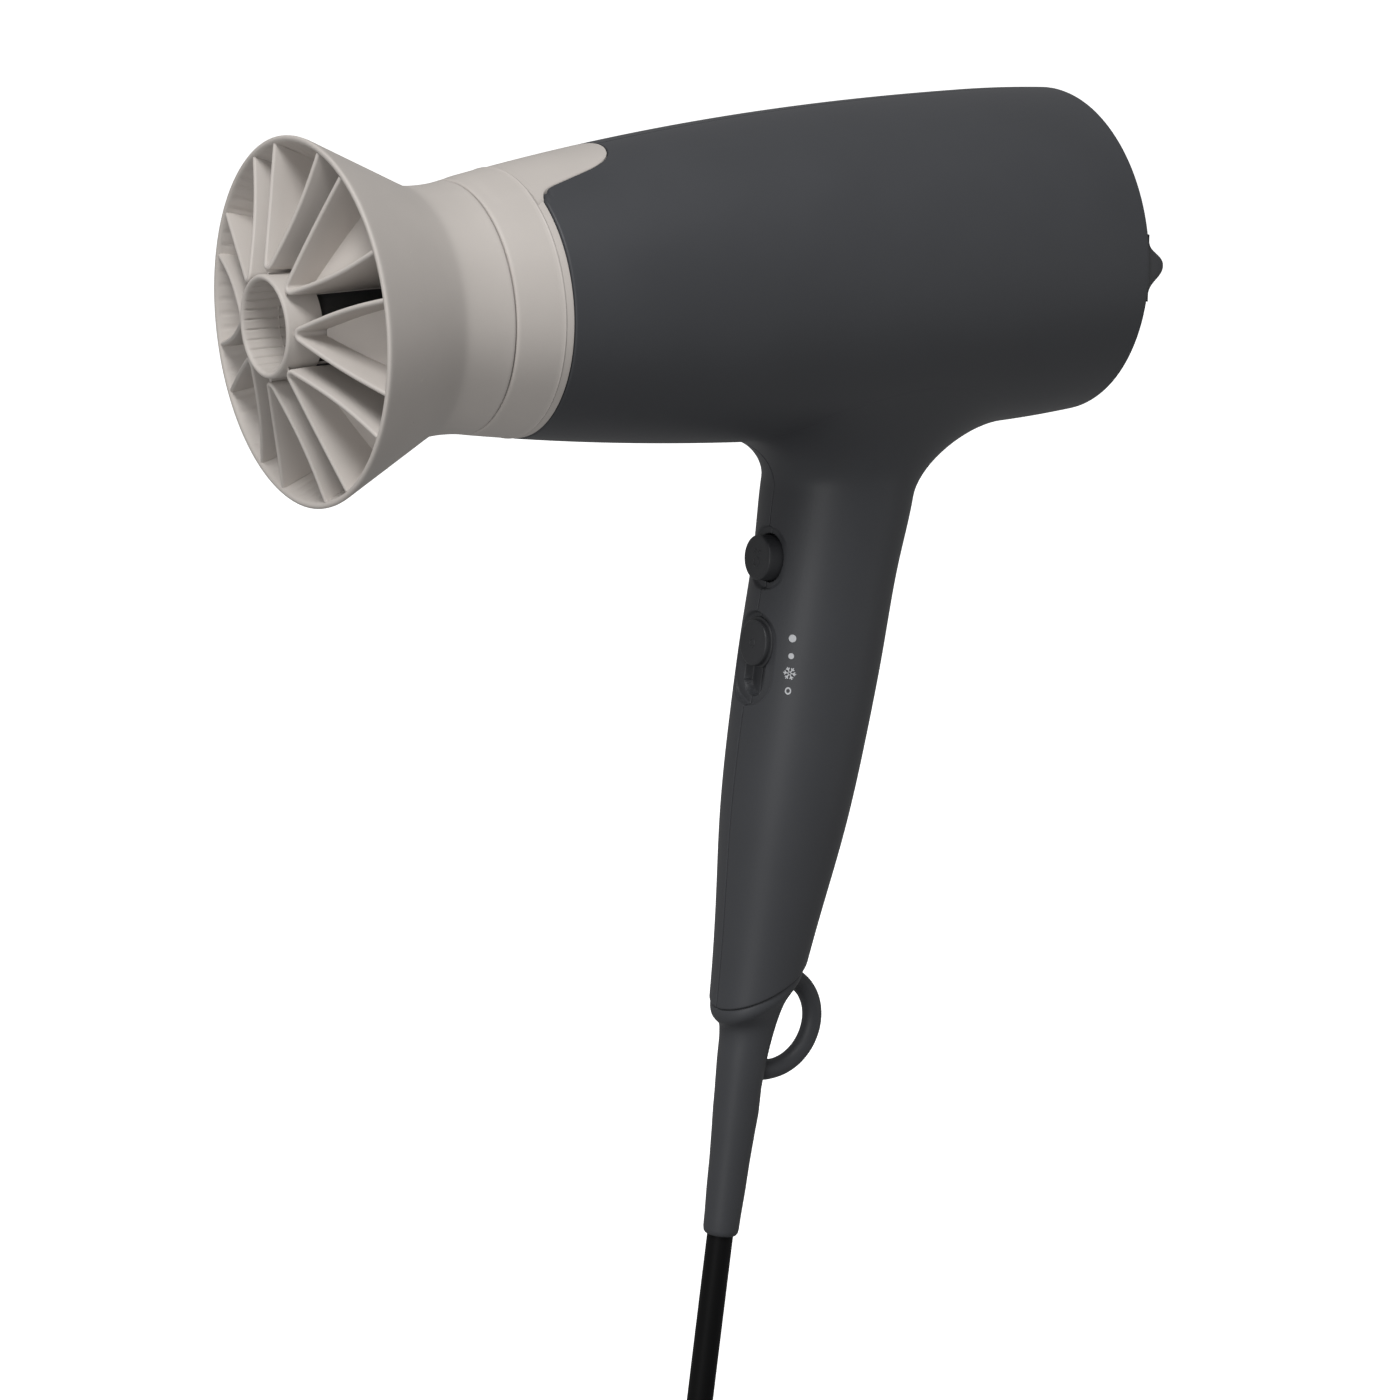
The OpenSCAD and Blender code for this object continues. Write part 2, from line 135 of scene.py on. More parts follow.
def spline(knots):
    """A natural cubic spline through (x, y) knots, as a function."""
    x, y = np.array(knots, float).T
    n = len(x)
    h = np.diff(x)
    a = np.eye(n)
    b = np.zeros(n)
    for i in range(1, n - 1):
        a[i, i - 1:i + 2] = h[i - 1], 2 * (h[i - 1] + h[i]), h[i]
        b[i] = 6 * ((y[i + 1] - y[i]) / h[i] - (y[i] - y[i - 1]) / h[i - 1])
    m = np.linalg.solve(a, b)

    def value(t):
        t = np.asarray(t, float)
        i = np.clip(np.searchsorted(x, t) - 1, 0, n - 2)
        left, right = t - x[i], x[i + 1] - t
        return (m[i] * right ** 3 + m[i + 1] * left ** 3) / (6 * h[i]) + \
            (y[i] / h[i] - m[i] * h[i] / 6) * right + (y[i + 1] / h[i] - m[i + 1] * h[i] / 6) * left
    return value


def curve_through(points, count):
    """Points evenly spaced along a smooth curve through the given ones."""
    points = np.array(points, float)
    along = np.concatenate([[0], np.cumsum(np.linalg.norm(np.diff(points, axis=0), axis=1))])
    dense = np.linspace(0, along[-1], count * 8)
    line = np.stack([spline(list(zip(along, points[:, k])))(dense) for k in range(points.shape[1])], -1)
    length = np.concatenate([[0], np.cumsum(np.linalg.norm(np.diff(line, axis=0), axis=1))])
    even = np.linspace(0, length[-1], count)
    return np.stack([np.interp(even, length, line[:, k]) for k in range(points.shape[1])], -1)


def outline_distance(points, outline):
    """Signed distance from points to a closed outline, negative inside."""
    nearest = np.full(len(points), 1e9)
    inside = np.zeros(len(points), bool)
    for a, b in zip(outline, np.roll(outline, -1, axis=0)):
        ab = b - a
        t = np.clip(((points - a) @ ab) / max(ab @ ab, 1e-9), 0, 1)
        nearest = np.minimum(nearest, np.linalg.norm(points - a - t[:, None] * ab, axis=1))
        crosses = (a[1] > points[:, 1]) != (b[1] > points[:, 1])
        at = a[0] + (points[:, 1] - a[1]) * ab[0] / (ab[1] if abs(ab[1]) > 1e-9 else 1e-9)
        inside ^= crosses & (points[:, 0] < at)
    return np.where(inside, -nearest, nearest)


def barrel_at(x):
    x = np.asarray(x, float)
    narrowed = NARROWING * (np.clip(WIDEST_X - x, 0, None) / NARROWING_LENGTH) ** NARROWING_POWER
    rounded_off = (np.clip(x - WIDEST_X, 0, None) / REAR_ROUNDING) ** 2
    return BARREL_R - narrowed - rounded_off


grip_radius = spline(GRIP_RADII)
GRIP_OUT = np.array([math.cos(GRIP_LEAN), 0, -math.sin(GRIP_LEAN)])    # rearwards from the grip's axis
GRIP_SIDE = np.array([0.0, 1.0, 0.0])
GRIP_DOWN = np.array([-math.sin(GRIP_LEAN), 0, -math.cos(GRIP_LEAN)])


def on_grip(turn, down, offset=0.0):
    """A point on the grip: turn 0 is the rear, pi the front."""
    r = grip_radius(np.maximum(down, -8)) + offset
    out = np.cos(turn)[..., None] * GRIP_OUT + np.sin(turn)[..., None] * GRIP_SIDE
    return GRIP_TOP + np.asarray(down)[..., None] * GRIP_DOWN + r[..., None] * out


FRONT_UP = np.array([math.sin(FRONT_LEAN), 0, math.cos(FRONT_LEAN)])
FRONT_OUT = np.array([-math.cos(FRONT_LEAN), 0, math.sin(FRONT_LEAN)])


def on_front(at, up, across, out):
    """A point given along the handle, across it and out of its front, from a control's centre."""
    up, across, out = np.broadcast_arrays(np.asarray(up, float), across, out)
    return at + up[..., None] * FRONT_UP + across[..., None] * GRIP_SIDE + out[..., None] * FRONT_OUT


# ---- Meshes -------------------------------------------------------------
class Piece:
    """Collects grids of points into one mesh."""

    def __init__(self, name):
        self.name = name
        self.points = []
        self.faces = []

    def grid(self, rows, wrap=False, flip=False):
        rows = np.asarray(rows, float)
        m, n = rows.shape[:2]
        base = len(self.points)
        self.points.extend(rows.reshape(-1, 3))
        last = n if wrap else n - 1
        for j in range(m - 1):
            for i in range(last):
                a = base + j * n + i
                b = base + j * n + (i + 1) % n
                quad = (a, b, b + n, a + n)
                self.faces.append(quad[::-1] if flip else quad)
        return self

    def fan(self, ring, centre, flip=False):
        ring = np.asarray(ring, float)
        base = len(self.points)
        self.points.extend(ring)
        self.points.append(np.asarray(centre, float))
        n = len(ring)
        for i in range(n):
            tri = (base + i, base + (i + 1) % n, base + n)
            self.faces.append(tri[::-1] if flip else tri)
        return self

    def make(self, material, body, replaces=(), slot=None, sharp=40):
        mesh = bpy.data.meshes.new(self.name)
        mesh.from_pydata([tuple(world(p)) for p in self.points], [], self.faces)
        mesh.validate()
        obj = bpy.data.objects.new(self.name, mesh)
        bpy.context.scene.collection.objects.link(obj)
        weld(mesh)
        mesh.shade_smooth()
        mesh.set_sharp_from_angle(angle=math.radians(sharp))
        mesh.materials.append(material)
        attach(obj, body)
        if replaces:
            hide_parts(*replaces)
        return obj


def weld(mesh):
    """Joins points that meet and turns all faces outwards."""
    bm = bmesh.new()
    bm.from_mesh(mesh)
    bmesh.ops.remove_doubles(bm, verts=bm.verts, dist=2e-6)
    bmesh.ops.recalc_face_normals(bm, faces=bm.faces)
    bm.to_mesh(mesh)
    bm.free()


def around(profile, count):
    """Turns a profile of (x, radius) points about the barrel axis; rows follow the profile."""
    angles = 2 * math.pi * np.arange(count) / count
    x, r = np.array(profile, float).T
    return np.stack([np.repeat(x[:, None], len(angles), 1), r[:, None] * np.sin(angles),
                     r[:, None] * np.cos(angles)], -1)


def dense_profile(profile, step):
    """Adds points along straight stretches so that long faces stay small."""
    out = [profile[0]]
    for a, b in zip(profile[:-1], profile[1:]):
        n = max(1, int(math.dist(a, b) / step))
        out += [tuple(np.array(a) + (np.array(b) - np.array(a)) * k / n) for k in range(1, n + 1)]
    return out


def rounded(profile, radius, steps=4):
    """Rounds the inner corners of an open profile of (x, r) points."""
    out = [profile[0]]
    for a, b, c in zip(profile[:-2], profile[1:-1], profile[2:]):
        a, b, c = map(lambda v: np.array(v, float), (a, b, c))
        cut = min(radius, np.linalg.norm(a - b) / 2.01, np.linalg.norm(c - b) / 2.01)
        p = b + (a - b) / np.linalg.norm(a - b) * cut
        q = b + (c - b) / np.linalg.norm(c - b) * cut
        for k in range(steps + 1):
            t = k / steps
            out.append(tuple((1 - t) ** 2 * p + 2 * t * (1 - t) * b + t * t * q))
    out.append(profile[-1])
    return out


def slab_on_front(piece, at, plan, profile):
    """Stands a closed plan (up, across) out of the handle's front.

    The profile is (inset, out), from base to top.
    """
    centre = plan.mean(0)
    rows = []
    for inset, out in profile:
        size = np.linalg.norm(plan - centre, axis=1)[:, None]
        ring = centre + (plan - centre) * (1 - inset / size)
        rows.append(on_front(at, ring[:, 0], ring[:, 1], out))
    piece.grid(rows, wrap=True)
    piece.fan(rows[-1], on_front(at, centre[0], centre[1], profile[-1][1]))
    return piece


# ---- Materials ----------------------------------------------------------
def plastic(name, colour, roughness, grain=0.0, grain_size=0.0004, mottle=0.04, specular=0.5,
            metallic=0.0):
    """A moulded surface: fine grain in the normal, slow changes in colour and gloss."""
    material = bpy.data.materials.new(name)
    material.use_nodes = True
    nodes, links = material.node_tree.nodes, material.node_tree.links
    shader = nodes["Principled BSDF"]
    shader.inputs["Metallic"].default_value = metallic
    shader.inputs["Specular IOR Level"].default_value = specular
    place = nodes.new("ShaderNodeTexCoord")
    slow = nodes.new("ShaderNodeTexNoise")
    slow.inputs["Scale"].default_value = 35
    slow.inputs["Detail"].default_value = 4
    links.new(place.outputs["Object"], slow.inputs["Vector"])
    tint = nodes.new("ShaderNodeValToRGB")
    tint.color_ramp.elements[0].position = 0.3
    tint.color_ramp.elements[1].position = 0.7
    tint.color_ramp.elements[0].color = [c * (1 - mottle) for c in colour] + [1]
    tint.color_ramp.elements[1].color = [min(1, c * (1 + mottle)) for c in colour] + [1]
    links.new(slow.outputs["Fac"], tint.inputs["Fac"])
    links.new(tint.outputs["Color"], shader.inputs["Base Color"])
    gloss = nodes.new("ShaderNodeMapRange")
    gloss.inputs["To Min"].default_value = roughness - 0.04
    gloss.inputs["To Max"].default_value = roughness + 0.04
    links.new(slow.outputs["Fac"], gloss.inputs["Value"])
    links.new(gloss.outputs["Result"], shader.inputs["Roughness"])
    fine = nodes.new("ShaderNodeTexNoise")
    fine.inputs["Scale"].default_value = 1 / grain_size
    fine.inputs["Detail"].default_value = 2
    links.new(place.outputs["Object"], fine.inputs["Vector"])
    bump = nodes.new("ShaderNodeBump")
    bump.inputs["Strength"].default_value = grain
    bump.inputs["Distance"].default_value = 0.00002
    links.new(fine.outputs["Fac"], bump.inputs["Height"])
    links.new(bump.outputs["Normal"], shader.inputs["Normal"])
    return material


CHARCOAL = plastic("charcoal", (0.0448, 0.0466, 0.0515), 0.5, 0.6, specular=0.35)
CONTROL = plastic("control", (0.030, 0.031, 0.034), 0.46, 0.3, specular=0.35)
GREIGE = plastic("greige", (0.49, 0.455, 0.425), 0.55, 0.4, specular=0.35)
GRILLE = plastic("grille", (0.035, 0.036, 0.04), 0.45, 0.4)
INK = plastic("ink", (0.48, 0.49, 0.51), 0.5)
CORD = plastic("cord", (0.0035, 0.0035, 0.0037), 0.5, 0.15, specular=0.12)
PLUG = plastic("plug", (0.016, 0.016, 0.018), 0.42, 0.4)
NICKEL = plastic("nickel", (0.66, 0.64, 0.6), 0.24, 0.1, metallic=1.0)
STEEL = plastic("steel", (0.55, 0.55, 0.56), 0.34, 0.2, metallic=1.0)
DARK = plastic("inner_black", (0.03, 0.03, 0.03), 0.5, 0.4)
MICA = plastic("mica", (0.62, 0.52, 0.33), 0.45, 0.6, mottle=0.15)
WIRE = plastic("heating_wire", (0.42, 0.38, 0.33), 0.36, 0.2, metallic=1.0)
RUBBER = plastic("soft_rubber", (0.02, 0.02, 0.02), 0.7, 0.5)
BOARD = plastic("board", (0.03, 0.13, 0.05), 0.4, 0.2, mottle=0.1)
LEAD = plastic("lead_red", (0.32, 0.02, 0.015), 0.4, 0.1)
MESH = plastic("filter_mesh", (0.02, 0.02, 0.02), 0.4, 0.8, grain_size=0.001, metallic=0.6)

CARRIED = {
    "outlet_grille": DARK, "heat_shield": MICA, "heater_frame": MICA, "heating_coil_main": WIRE,
    "heating_coil_booster": WIRE, "thermostat": STEEL, "thermal_fuse": STEEL, "fan_duct": DARK,
    "motor_damper": RUBBER, "motor_can": STEEL, "motor_end_cap": DARK, "motor_capacitor": LEAD,
    "motor_shaft": STEEL, "fan": DARK, "inlet_filter": MESH, "cool_shot_spring": STEEL,
    "cool_shot_switch": DARK, "switch_block": DARK, "circuit_board": BOARD, "cord_lead_in": CORD,
    "cord_clamp": DARK, "clamp_screws": STEEL, "live_lead": LEAD, "neutral_lead": LEAD,
    "nozzle_clip_ring": DARK, "nozzle_hub_plug": GREIGE,
}
for node, material in CARRIED.items():
    frame["nodes"][node].data.materials.clear()
    frame["nodes"][node].data.materials.append(material)


# ---- Camera -------------------------------------------------------------
camera = bpy.data.objects.new("camera", bpy.data.cameras.new("camera"))
bpy.context.scene.collection.objects.link(camera)
bpy.context.scene.camera = camera
camera.data.sensor_width = 36
camera.data.lens = 110.57
camera.data.clip_start = 0.1
camera.data.clip_end = 20
EYE = Vector((-0.63711, -0.93094, 0.29085))
AIM = Vector((-0.0321, 0.0, 0.00821))
camera.location = EYE
camera.rotation_euler = (AIM - EYE).to_track_quat("-Z", "Y").to_euler()


# ---- Cord ---------------------------------------------------------------
# From the strain relief down to the surface, then round the coil, and out to the plug (row frame, mm)
CORD_DOWN = [(-25.4, 0, -144.4), (-28.3, 0, -165), (-31.1, 0, -185), (-33.3, 0, -201), (-35, 0, -214),
             (-35.8, -1.1, -222.6), (-36.7, -4.3, -230.3), (-37.7, -9.4, -236.9), (-38.7, -16, -242),
             (-39.5, -23.7, -245.2), (-40, -32, -246.3)]
CORD_TAIL = [(-37.6, -47, -239), (-39, -56, -240.2), (-40, -65, -242.4), (-39.8, -74, -244.6),
             (-38.4, -84, -245.9), (-34.6, -93.5, -246.2), (-28, -102, -245.6), (-19.5, -108.8, -243.8),
             (-10, -113.2, -240.6), (0, -115, -237.6), (6, -115, -236.5)]
COIL_AT = (14.0, -38.0)
COIL_INNER = 30.0
COIL_OUTER = 54.0
TURN_STEP = 20           # degrees between points of the coil
COIL_START = 180         # degrees too: the lower layer runs inwards from here,
COIL_CLIMB = 1260        # climbs to the upper layer from here
COIL_UPPER = 1320        # to here, and runs outwards
COIL_LEAVES = 51.0       # radius at which the upper layer lets the cord go
COIL_END = 2340          # and its angle


def coil_points():
    low = FLOOR_Z * 1000 + CORD_R
    high = low + 2 * CORD_R
    stages = [(COIL_START, COIL_CLIMB, COIL_OUTER, COIL_INNER, low, low),
              (COIL_CLIMB, COIL_UPPER, COIL_INNER, COIL_INNER, low, high),
              (COIL_UPPER, COIL_END, COIL_INNER, COIL_LEAVES, high, high)]
    points = []
    for a0, a1, r0, r1, z0, z1 in stages:
        for angle in range(a0, a1, TURN_STEP):
            t = (angle - a0) / (a1 - a0)
            r = r0 + (r1 - r0) * t
            z = z0 + (z1 - z0) * float(smooth_step(t))
            a = math.radians(angle)
            points.append((COIL_AT[0] + r * math.cos(a), COIL_AT[1] + r * math.sin(a), z))
    a = math.radians(COIL_END)
    points.append((COIL_AT[0] + COIL_LEAVES * math.cos(a), COIL_AT[1] + COIL_LEAVES * math.sin(a), high))
    return points


def round_tube(name, points, radius, material, body):
    """A round tube whose centreline is a smooth curve through the points (row frame, mm)."""
    data = bpy.data.curves.new(name, "CURVE")
    data.dimensions = "3D"
    data.bevel_depth = radius / 1000
    data.bevel_resolution = 6
    data.resolution_u = 6
    data.use_fill_caps = True
    line = data.splines.new("BEZIER")
    line.bezier_points.add(len(points) - 1)
    points = np.array(points, float)
    ahead = np.vstack([points[1:], points[-1:]])
    behind = np.vstack([points[:1], points[:-1]])
    for k, p in enumerate(points):
        along = ahead[k] - behind[k]
        along /= np.linalg.norm(along)
        reach_in = np.linalg.norm(p - behind[k]) / 3
        reach_out = np.linalg.norm(ahead[k] - p) / 3
        knot = line.bezier_points[k]
        knot.co = Vector(p / 1000)
        knot.handle_left = Vector((p - along * reach_in) / 1000)
        knot.handle_right = Vector((p + along * reach_out) / 1000)
    obj = bpy.data.objects.new(name, data)
    bpy.context.scene.collection.objects.link(obj)
    data.materials.append(material)
    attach(obj, body)
    return obj


def make_cord():
    points = CORD_DOWN + coil_points() + CORD_TAIL
    cord = round_tube("cord", points, CORD_R, CORD, "dryer")
    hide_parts("power_cord", "cord_coil", "cord_tail")
    return cord


# ---- Plug ---------------------------------------------------------------
PLUG_X = 6.0             # where the cord enters the plug; the pins point towards +X
PLUG_Y = -115.0
PLUG_Z = -236.5


def plug_ring(half_x, half_z, along, power, count=48):
    """A rounded-box ring about the plug's axis, in the row frame moved to the barrel frame."""
    a = 2 * math.pi * np.arange(count) / count
    c, s = np.cos(a), np.sin(a)
    across = half_x * np.sign(c) * np.abs(c) ** (2 / power)
    z = half_z * np.sign(s) * np.abs(s) ** (2 / power)
    return np.stack([np.full(count, PLUG_X + SHIFT_X + along), PLUG_Y + across, PLUG_Z - AXIS_Z + z], -1)


def make_plug():
    piece = Piece("plug_body")
    rows = [plug_ring(4.2, 4.2, 0.1, 2), plug_ring(4.9, 4.9, 0.6, 2)]
    for k in range(6):
        y = 2.5 + 4.2 * k
        r = 5.1 + 0.4 * k
        rows += [plug_ring(r, r, y, 2), plug_ring(r, r, y + 2.4, 2), plug_ring(r - 1, r - 1, y + 2.9, 2),
                 plug_ring(r - 0.9, r - 0.9, y + 3.7, 2)]
    rows += [plug_ring(8.4, 8.2, 28.6, 2.1), plug_ring(12, 10.5, 31, 2.2), plug_ring(15.5, 12, 34.5, 2.4),
             plug_ring(17.3, 12.9, 39, 2.6), plug_ring(18.2, 13.2, 45, 2.8), plug_ring(18.2, 13.2, 56, 2.8),
             plug_ring(18.0, 13.1, 61.5, 2.8), plug_ring(17.2, 12.6, 63.3, 2.8),
             plug_ring(16.2, 12, 63.8, 2.8)]
    piece.grid(rows, wrap=True)
    piece.fan(rows[0], rows[0].mean(0), flip=True)
    piece.fan(rows[-1], rows[-1].mean(0))
    plug = piece.make(PLUG, "dryer", ["mains_plug"], "plug_plastic", sharp=50)
    pins = Piece("plug_pin_pair")
    for side in (-9.5, 9.5):
        rows = []
        for r, y in [(3.4, 63.6), (3.4, 64.3), (2.4, 64.4), (2.4, 80.6), (2.1, 81.8), (1.3, 82.7),
                     (0.4, 82.95)]:
            ring = plug_ring(r, r, y, 2, 28)
            ring[:, 1] += side
            rows.append(ring)
        pins.grid(rows, wrap=True)
        pins.fan(rows[-1], rows[-1].mean(0))
    pins = pins.make(NICKEL, "dryer", ["plug_pins"], "pin_metal")
    return plug, pins


cord = make_cord()
plug, pins = make_plug()


# ---- Housing ------------------------------------------------------------
SLIT_HALF = 0.17


def groove(y):
    """Depth of the fine joint between the two halves at a distance from the middle plane."""
    y = np.abs(y)
    slit = np.where(y < SLIT_HALF, 1.1, 0.0)
    edge = 0.2 * np.clip(1 - (y - SLIT_HALF) / 0.25, 0, 1) ** 2
    return slit + edge


NEAR_MIDDLE = np.array([0.03, 0.1, 0.168, 0.174, 0.22, 0.29, 0.38, 0.5])


def columns(radius, fine_to, fine_step, coarse_step):
    """Angles from the middle plane round to the other side of it, closely spaced near both joints."""
    near = NEAR_MIDDLE / radius
    fine = np.arange(0.7, fine_to, fine_step) / radius
    start = fine[-1] if len(fine) else near[-1]
    coarse = np.arange(start + coarse_step / radius, math.pi - 0.8 / radius, coarse_step / radius)
    return np.concatenate([near, fine, coarse, math.pi - near[::-1]])


TONGUE = [(-65.9, 19.6), (-65.35, 18.5), (-64.2, 17.3), (-62.5, 16.5), (-58.5, 15.7), (-54.6, 15.0),
          (-50, 14.1), (-46.3, 13.0), (-43.2, 11.3), (-40.8, 8.7), (-39.3, 5.2), (-38.6, 0.0)]


def tongue_edge(count=60):
    """Half of the tongue's outline, from the collar to its tip, as (x, y)."""
    mirrored = TONGUE + [(x, -y) for x, y in TONGUE[-2::-1]]
    whole = curve_through(mirrored, 2 * count - 1)
    return whole[:count]


def tongue_outline():
    half = tongue_edge()
    front = np.array([[-72, half[0][1] + 2.5]])
    upper = np.vstack([front, half])
    return np.vstack([upper, upper[::-1][1:] * [1, -1]])


def half_barrel(side):
    """Barrel surface of one half; the tongue's bed is let into its top."""
    # angle 0 is the top of the barrel, pi its underside
    turns = columns(41.0, 21.0, 0.3, 2.0)
    xs = np.concatenate([np.arange(COLLAR_BACK + 0.12, -37, 0.3), np.arange(-36.7, 100, 2.2),
                         np.linspace(100, REAR_X - 0.7, 8)])
    x, a = np.meshgrid(xs, turns, indexing="ij")
    r = barrel_at(x)
    y = r * np.sin(a)
    flat = np.stack([x.ravel(), y.ravel()], -1)
    apart = outline_distance(flat, tongue_outline()).reshape(x.shape)
    on_top = a < 1.0
    bed = np.where(on_top, smooth_step((0.28 - apart) / 0.16), 0.0)
    soft = np.where(on_top & (apart > 0), 0.12 * np.exp(-((apart - 0.15) / 0.18) ** 2), 0.0)
    r = r - 1.5 * bed - soft - groove(np.minimum(a, math.pi - a) * r)
    front = np.where(x < COLLAR_BACK + 0.5, 0.25 * ((COLLAR_BACK + 0.5 - x) / 0.4) ** 2, 0)
    r = r - np.clip(front, 0, 0.3)
    rows = np.stack([x, side * r * np.sin(a), r * np.cos(a)], -1)
    lip = []
    for step_x, drop in [(REAR_X - 0.35, 0.12), (REAR_X - 0.1, 0.35), (REAR_X, 0.75),
                         (REAR_X - 0.1, WALL - 0.6), (REAR_X - 0.5, WALL - 0.2), (REAR_X - 9, WALL)]:
        rr = r[-1] - drop
        lip.append(np.stack([np.full_like(rr, step_x), side * rr * np.sin(turns), rr * np.cos(turns)], -1))
    hem = []
    for step_x, drop in [(COLLAR_BACK + 0.3, 3.0), (COLLAR_BACK + 0.12, 1.0)]:
        rr = r[0] - drop
        hem.append(np.stack([np.full_like(rr, step_x), side * rr * np.sin(turns), rr * np.cos(turns)], -1))
    return np.concatenate([hem, rows, lip])


def meet_barrel(turn):
    """Distance down the grip's axis at which the grip's line at this turn meets the barrel."""
    low, high = -45.0, 12.0
    for _ in range(40):
        mid = (low + high) / 2
        p = on_grip(np.array(turn), np.array(mid))
        if math.hypot(p[1], p[2]) > float(barrel_at(p[0])):
            high = mid
        else:
            low = mid
    return (low + high) / 2


def blend_size(turn):
    """How far the fillet between grip and barrel reaches: small in front, larger behind."""
    return 16.0 + 6.0 * (0.5 + 0.5 * math.cos(turn)) ** 2


def barrel_walk(p, direction, reach):
    """The point reached by walking over the barrel from p, and the direction of travel there."""
    angle = math.atan2(p[1], -p[2])
    r = float(barrel_at(p[0]))
    round_way = direction[1] * math.cos(angle) + direction[2] * math.sin(angle)
    scale = math.hypot(direction[0], round_way)
    x = p[0] + reach * direction[0] / scale
    turned = angle + reach * round_way / scale / r
    slope = float(barrel_at(x + 0.5) - barrel_at(x - 0.5))
    radial = np.array([0, math.sin(turned), -math.cos(turned)])
    tangent = np.array([0, math.cos(turned), math.sin(turned)])
    end = np.array([x, 0, 0]) + float(barrel_at(x)) * radial
    ahead = direction[0] / scale
    way = np.array([1, 0, 0]) * ahead + tangent * round_way / scale + radial * slope * ahead
    return end, way / np.linalg.norm(way), radial


def seam_drop(turn):
    """Distance down the grip's axis of the bottom seam at this turn."""
    low, high = 100.0, 150.0
    for _ in range(40):
        mid = (low + high) / 2
        p = on_grip(np.array(turn), np.array(mid))
        if p[2] > SEAM_FRONT_Z + SEAM_SLOPE * (p[0] + 1):
            low = mid
        else:
            high = mid
    return (low + high) / 2


def stadium_distance(up, across, radius, top, bottom):
    """Signed distance in the front's plane to a slot with round ends."""
    along = np.clip(up, -(bottom - radius), top - radius)
    return np.hypot(up - along, across) - radius


def control_recess(points):
    """Sinks the seats of the two controls into the front of the handle."""
    for at, radius, top, bottom in ((BUTTON_AT, SEAT_R, SEAT_R, SEAT_R),
                                    (CAP_AT, SEAT_R, SEAT_R, SEAT_R + SWITCH_TRAVEL)):
        rel = points - at
        up, across, out = rel @ FRONT_UP, rel @ GRIP_SIDE, rel @ FRONT_OUT
        apart = stadium_distance(up, across, radius, top, bottom)
        inside = smooth_step(0.5 - apart / 0.7)
        facing = out > -6
        over = np.log1p(np.exp(np.clip(out / 0.16, -30, 30))) * 0.16
        points = points - (np.where(facing, inside * over, 0))[..., None] * FRONT_OUT
        if at is CAP_AT:
            apart = stadium_distance(up, across, SLOT_R, SLOT_UP, SLOT_DOWN)
            deep = smooth_step(0.5 - apart / 0.5) * 2.6
        else:
            apart = np.hypot(up, across) - (BUTTON_R + 0.25)
            deep = smooth_step(0.5 - apart / 0.3) * 4.0
        points = points - (np.where(facing, deep, 0))[..., None] * FRONT_OUT
    return points


BLEND_STEPS = 18


def half_grip(side):
    """Grip of one half, from its fillet into the barrel down to the bottom seam."""
    turns = math.pi - columns(19.3, 13.0, 0.3, 1.4)
    fine_from, fine_to = 4.0, 62.0
    columns_out = []
    for turn in turns:
        meet = meet_barrel(turn)
        size = blend_size(turn)
        start = meet + size * 0.88
        corner = on_grip(np.array(turn), np.array(meet))
        first = on_grip(np.array(turn), np.array(start))
        before = on_grip(np.array(turn), np.array(start + 0.5))
        up_way = (first - before) / np.linalg.norm(first - before)
        direction = math.cos(turn) * GRIP_OUT + math.sin(turn) * GRIP_SIDE
        last, way, radial = barrel_walk(corner, direction, size * 1.1)
        p1 = first + up_way * 0.5 * np.linalg.norm(corner - first)
        p2 = last - way * 0.5 * np.linalg.norm(last - corner)
        under = last + way * 0.6 - radial * 0.1
        line = [under]
        for k in range(BLEND_STEPS + 1):
            t = 1 - k / BLEND_STEPS
            near = (1 - t) ** 3 * first + 3 * t * (1 - t) ** 2 * p1
            line.append(near + 3 * t * t * (1 - t) * p2 + t ** 3 * last)
        bottom = seam_drop(turn) - 0.12
        fine_start = max(start, fine_from)
        downs = np.concatenate([np.linspace(start, fine_start + 0.3, 12)[1:-1],
                                np.linspace(fine_start + 0.3, fine_to, 190),
                                np.linspace(fine_to, bottom - 0.6, 50)[1:],
                                [bottom - 0.3, bottom - 0.1, bottom]])
        body = on_grip(np.full(len(downs), turn), downs)
        body[-3:] -= np.array([0.02, 0.08, 0.22])[:, None] * direction
        hem = [body[-1] - 2.0 * direction]
        columns_out.append(np.vstack([line, body, hem]))
    rows = np.stack(columns_out, 1)
    rows = control_recess(rows)
    middle = np.abs(rows[..., 1])
    depth = groove(middle)
    to_axis = rows - (GRIP_TOP + ((rows - GRIP_TOP) @ GRIP_DOWN)[..., None] * GRIP_DOWN)
    radial = to_axis / np.linalg.norm(to_axis, axis=-1)[..., None]
    rows = rows - depth[..., None] * radial
    rows[..., 1] *= side
    return rows


def make_housing():
    for name, side in (("left", 1), ("right", -1)):
        piece = Piece("housing_" + name + "_skin")
        piece.grid(half_barrel(side))
        piece.grid(half_grip(side))
        piece.make(CHARCOAL, "dryer", ["housing_" + name], "housing_plastic", sharp=60)


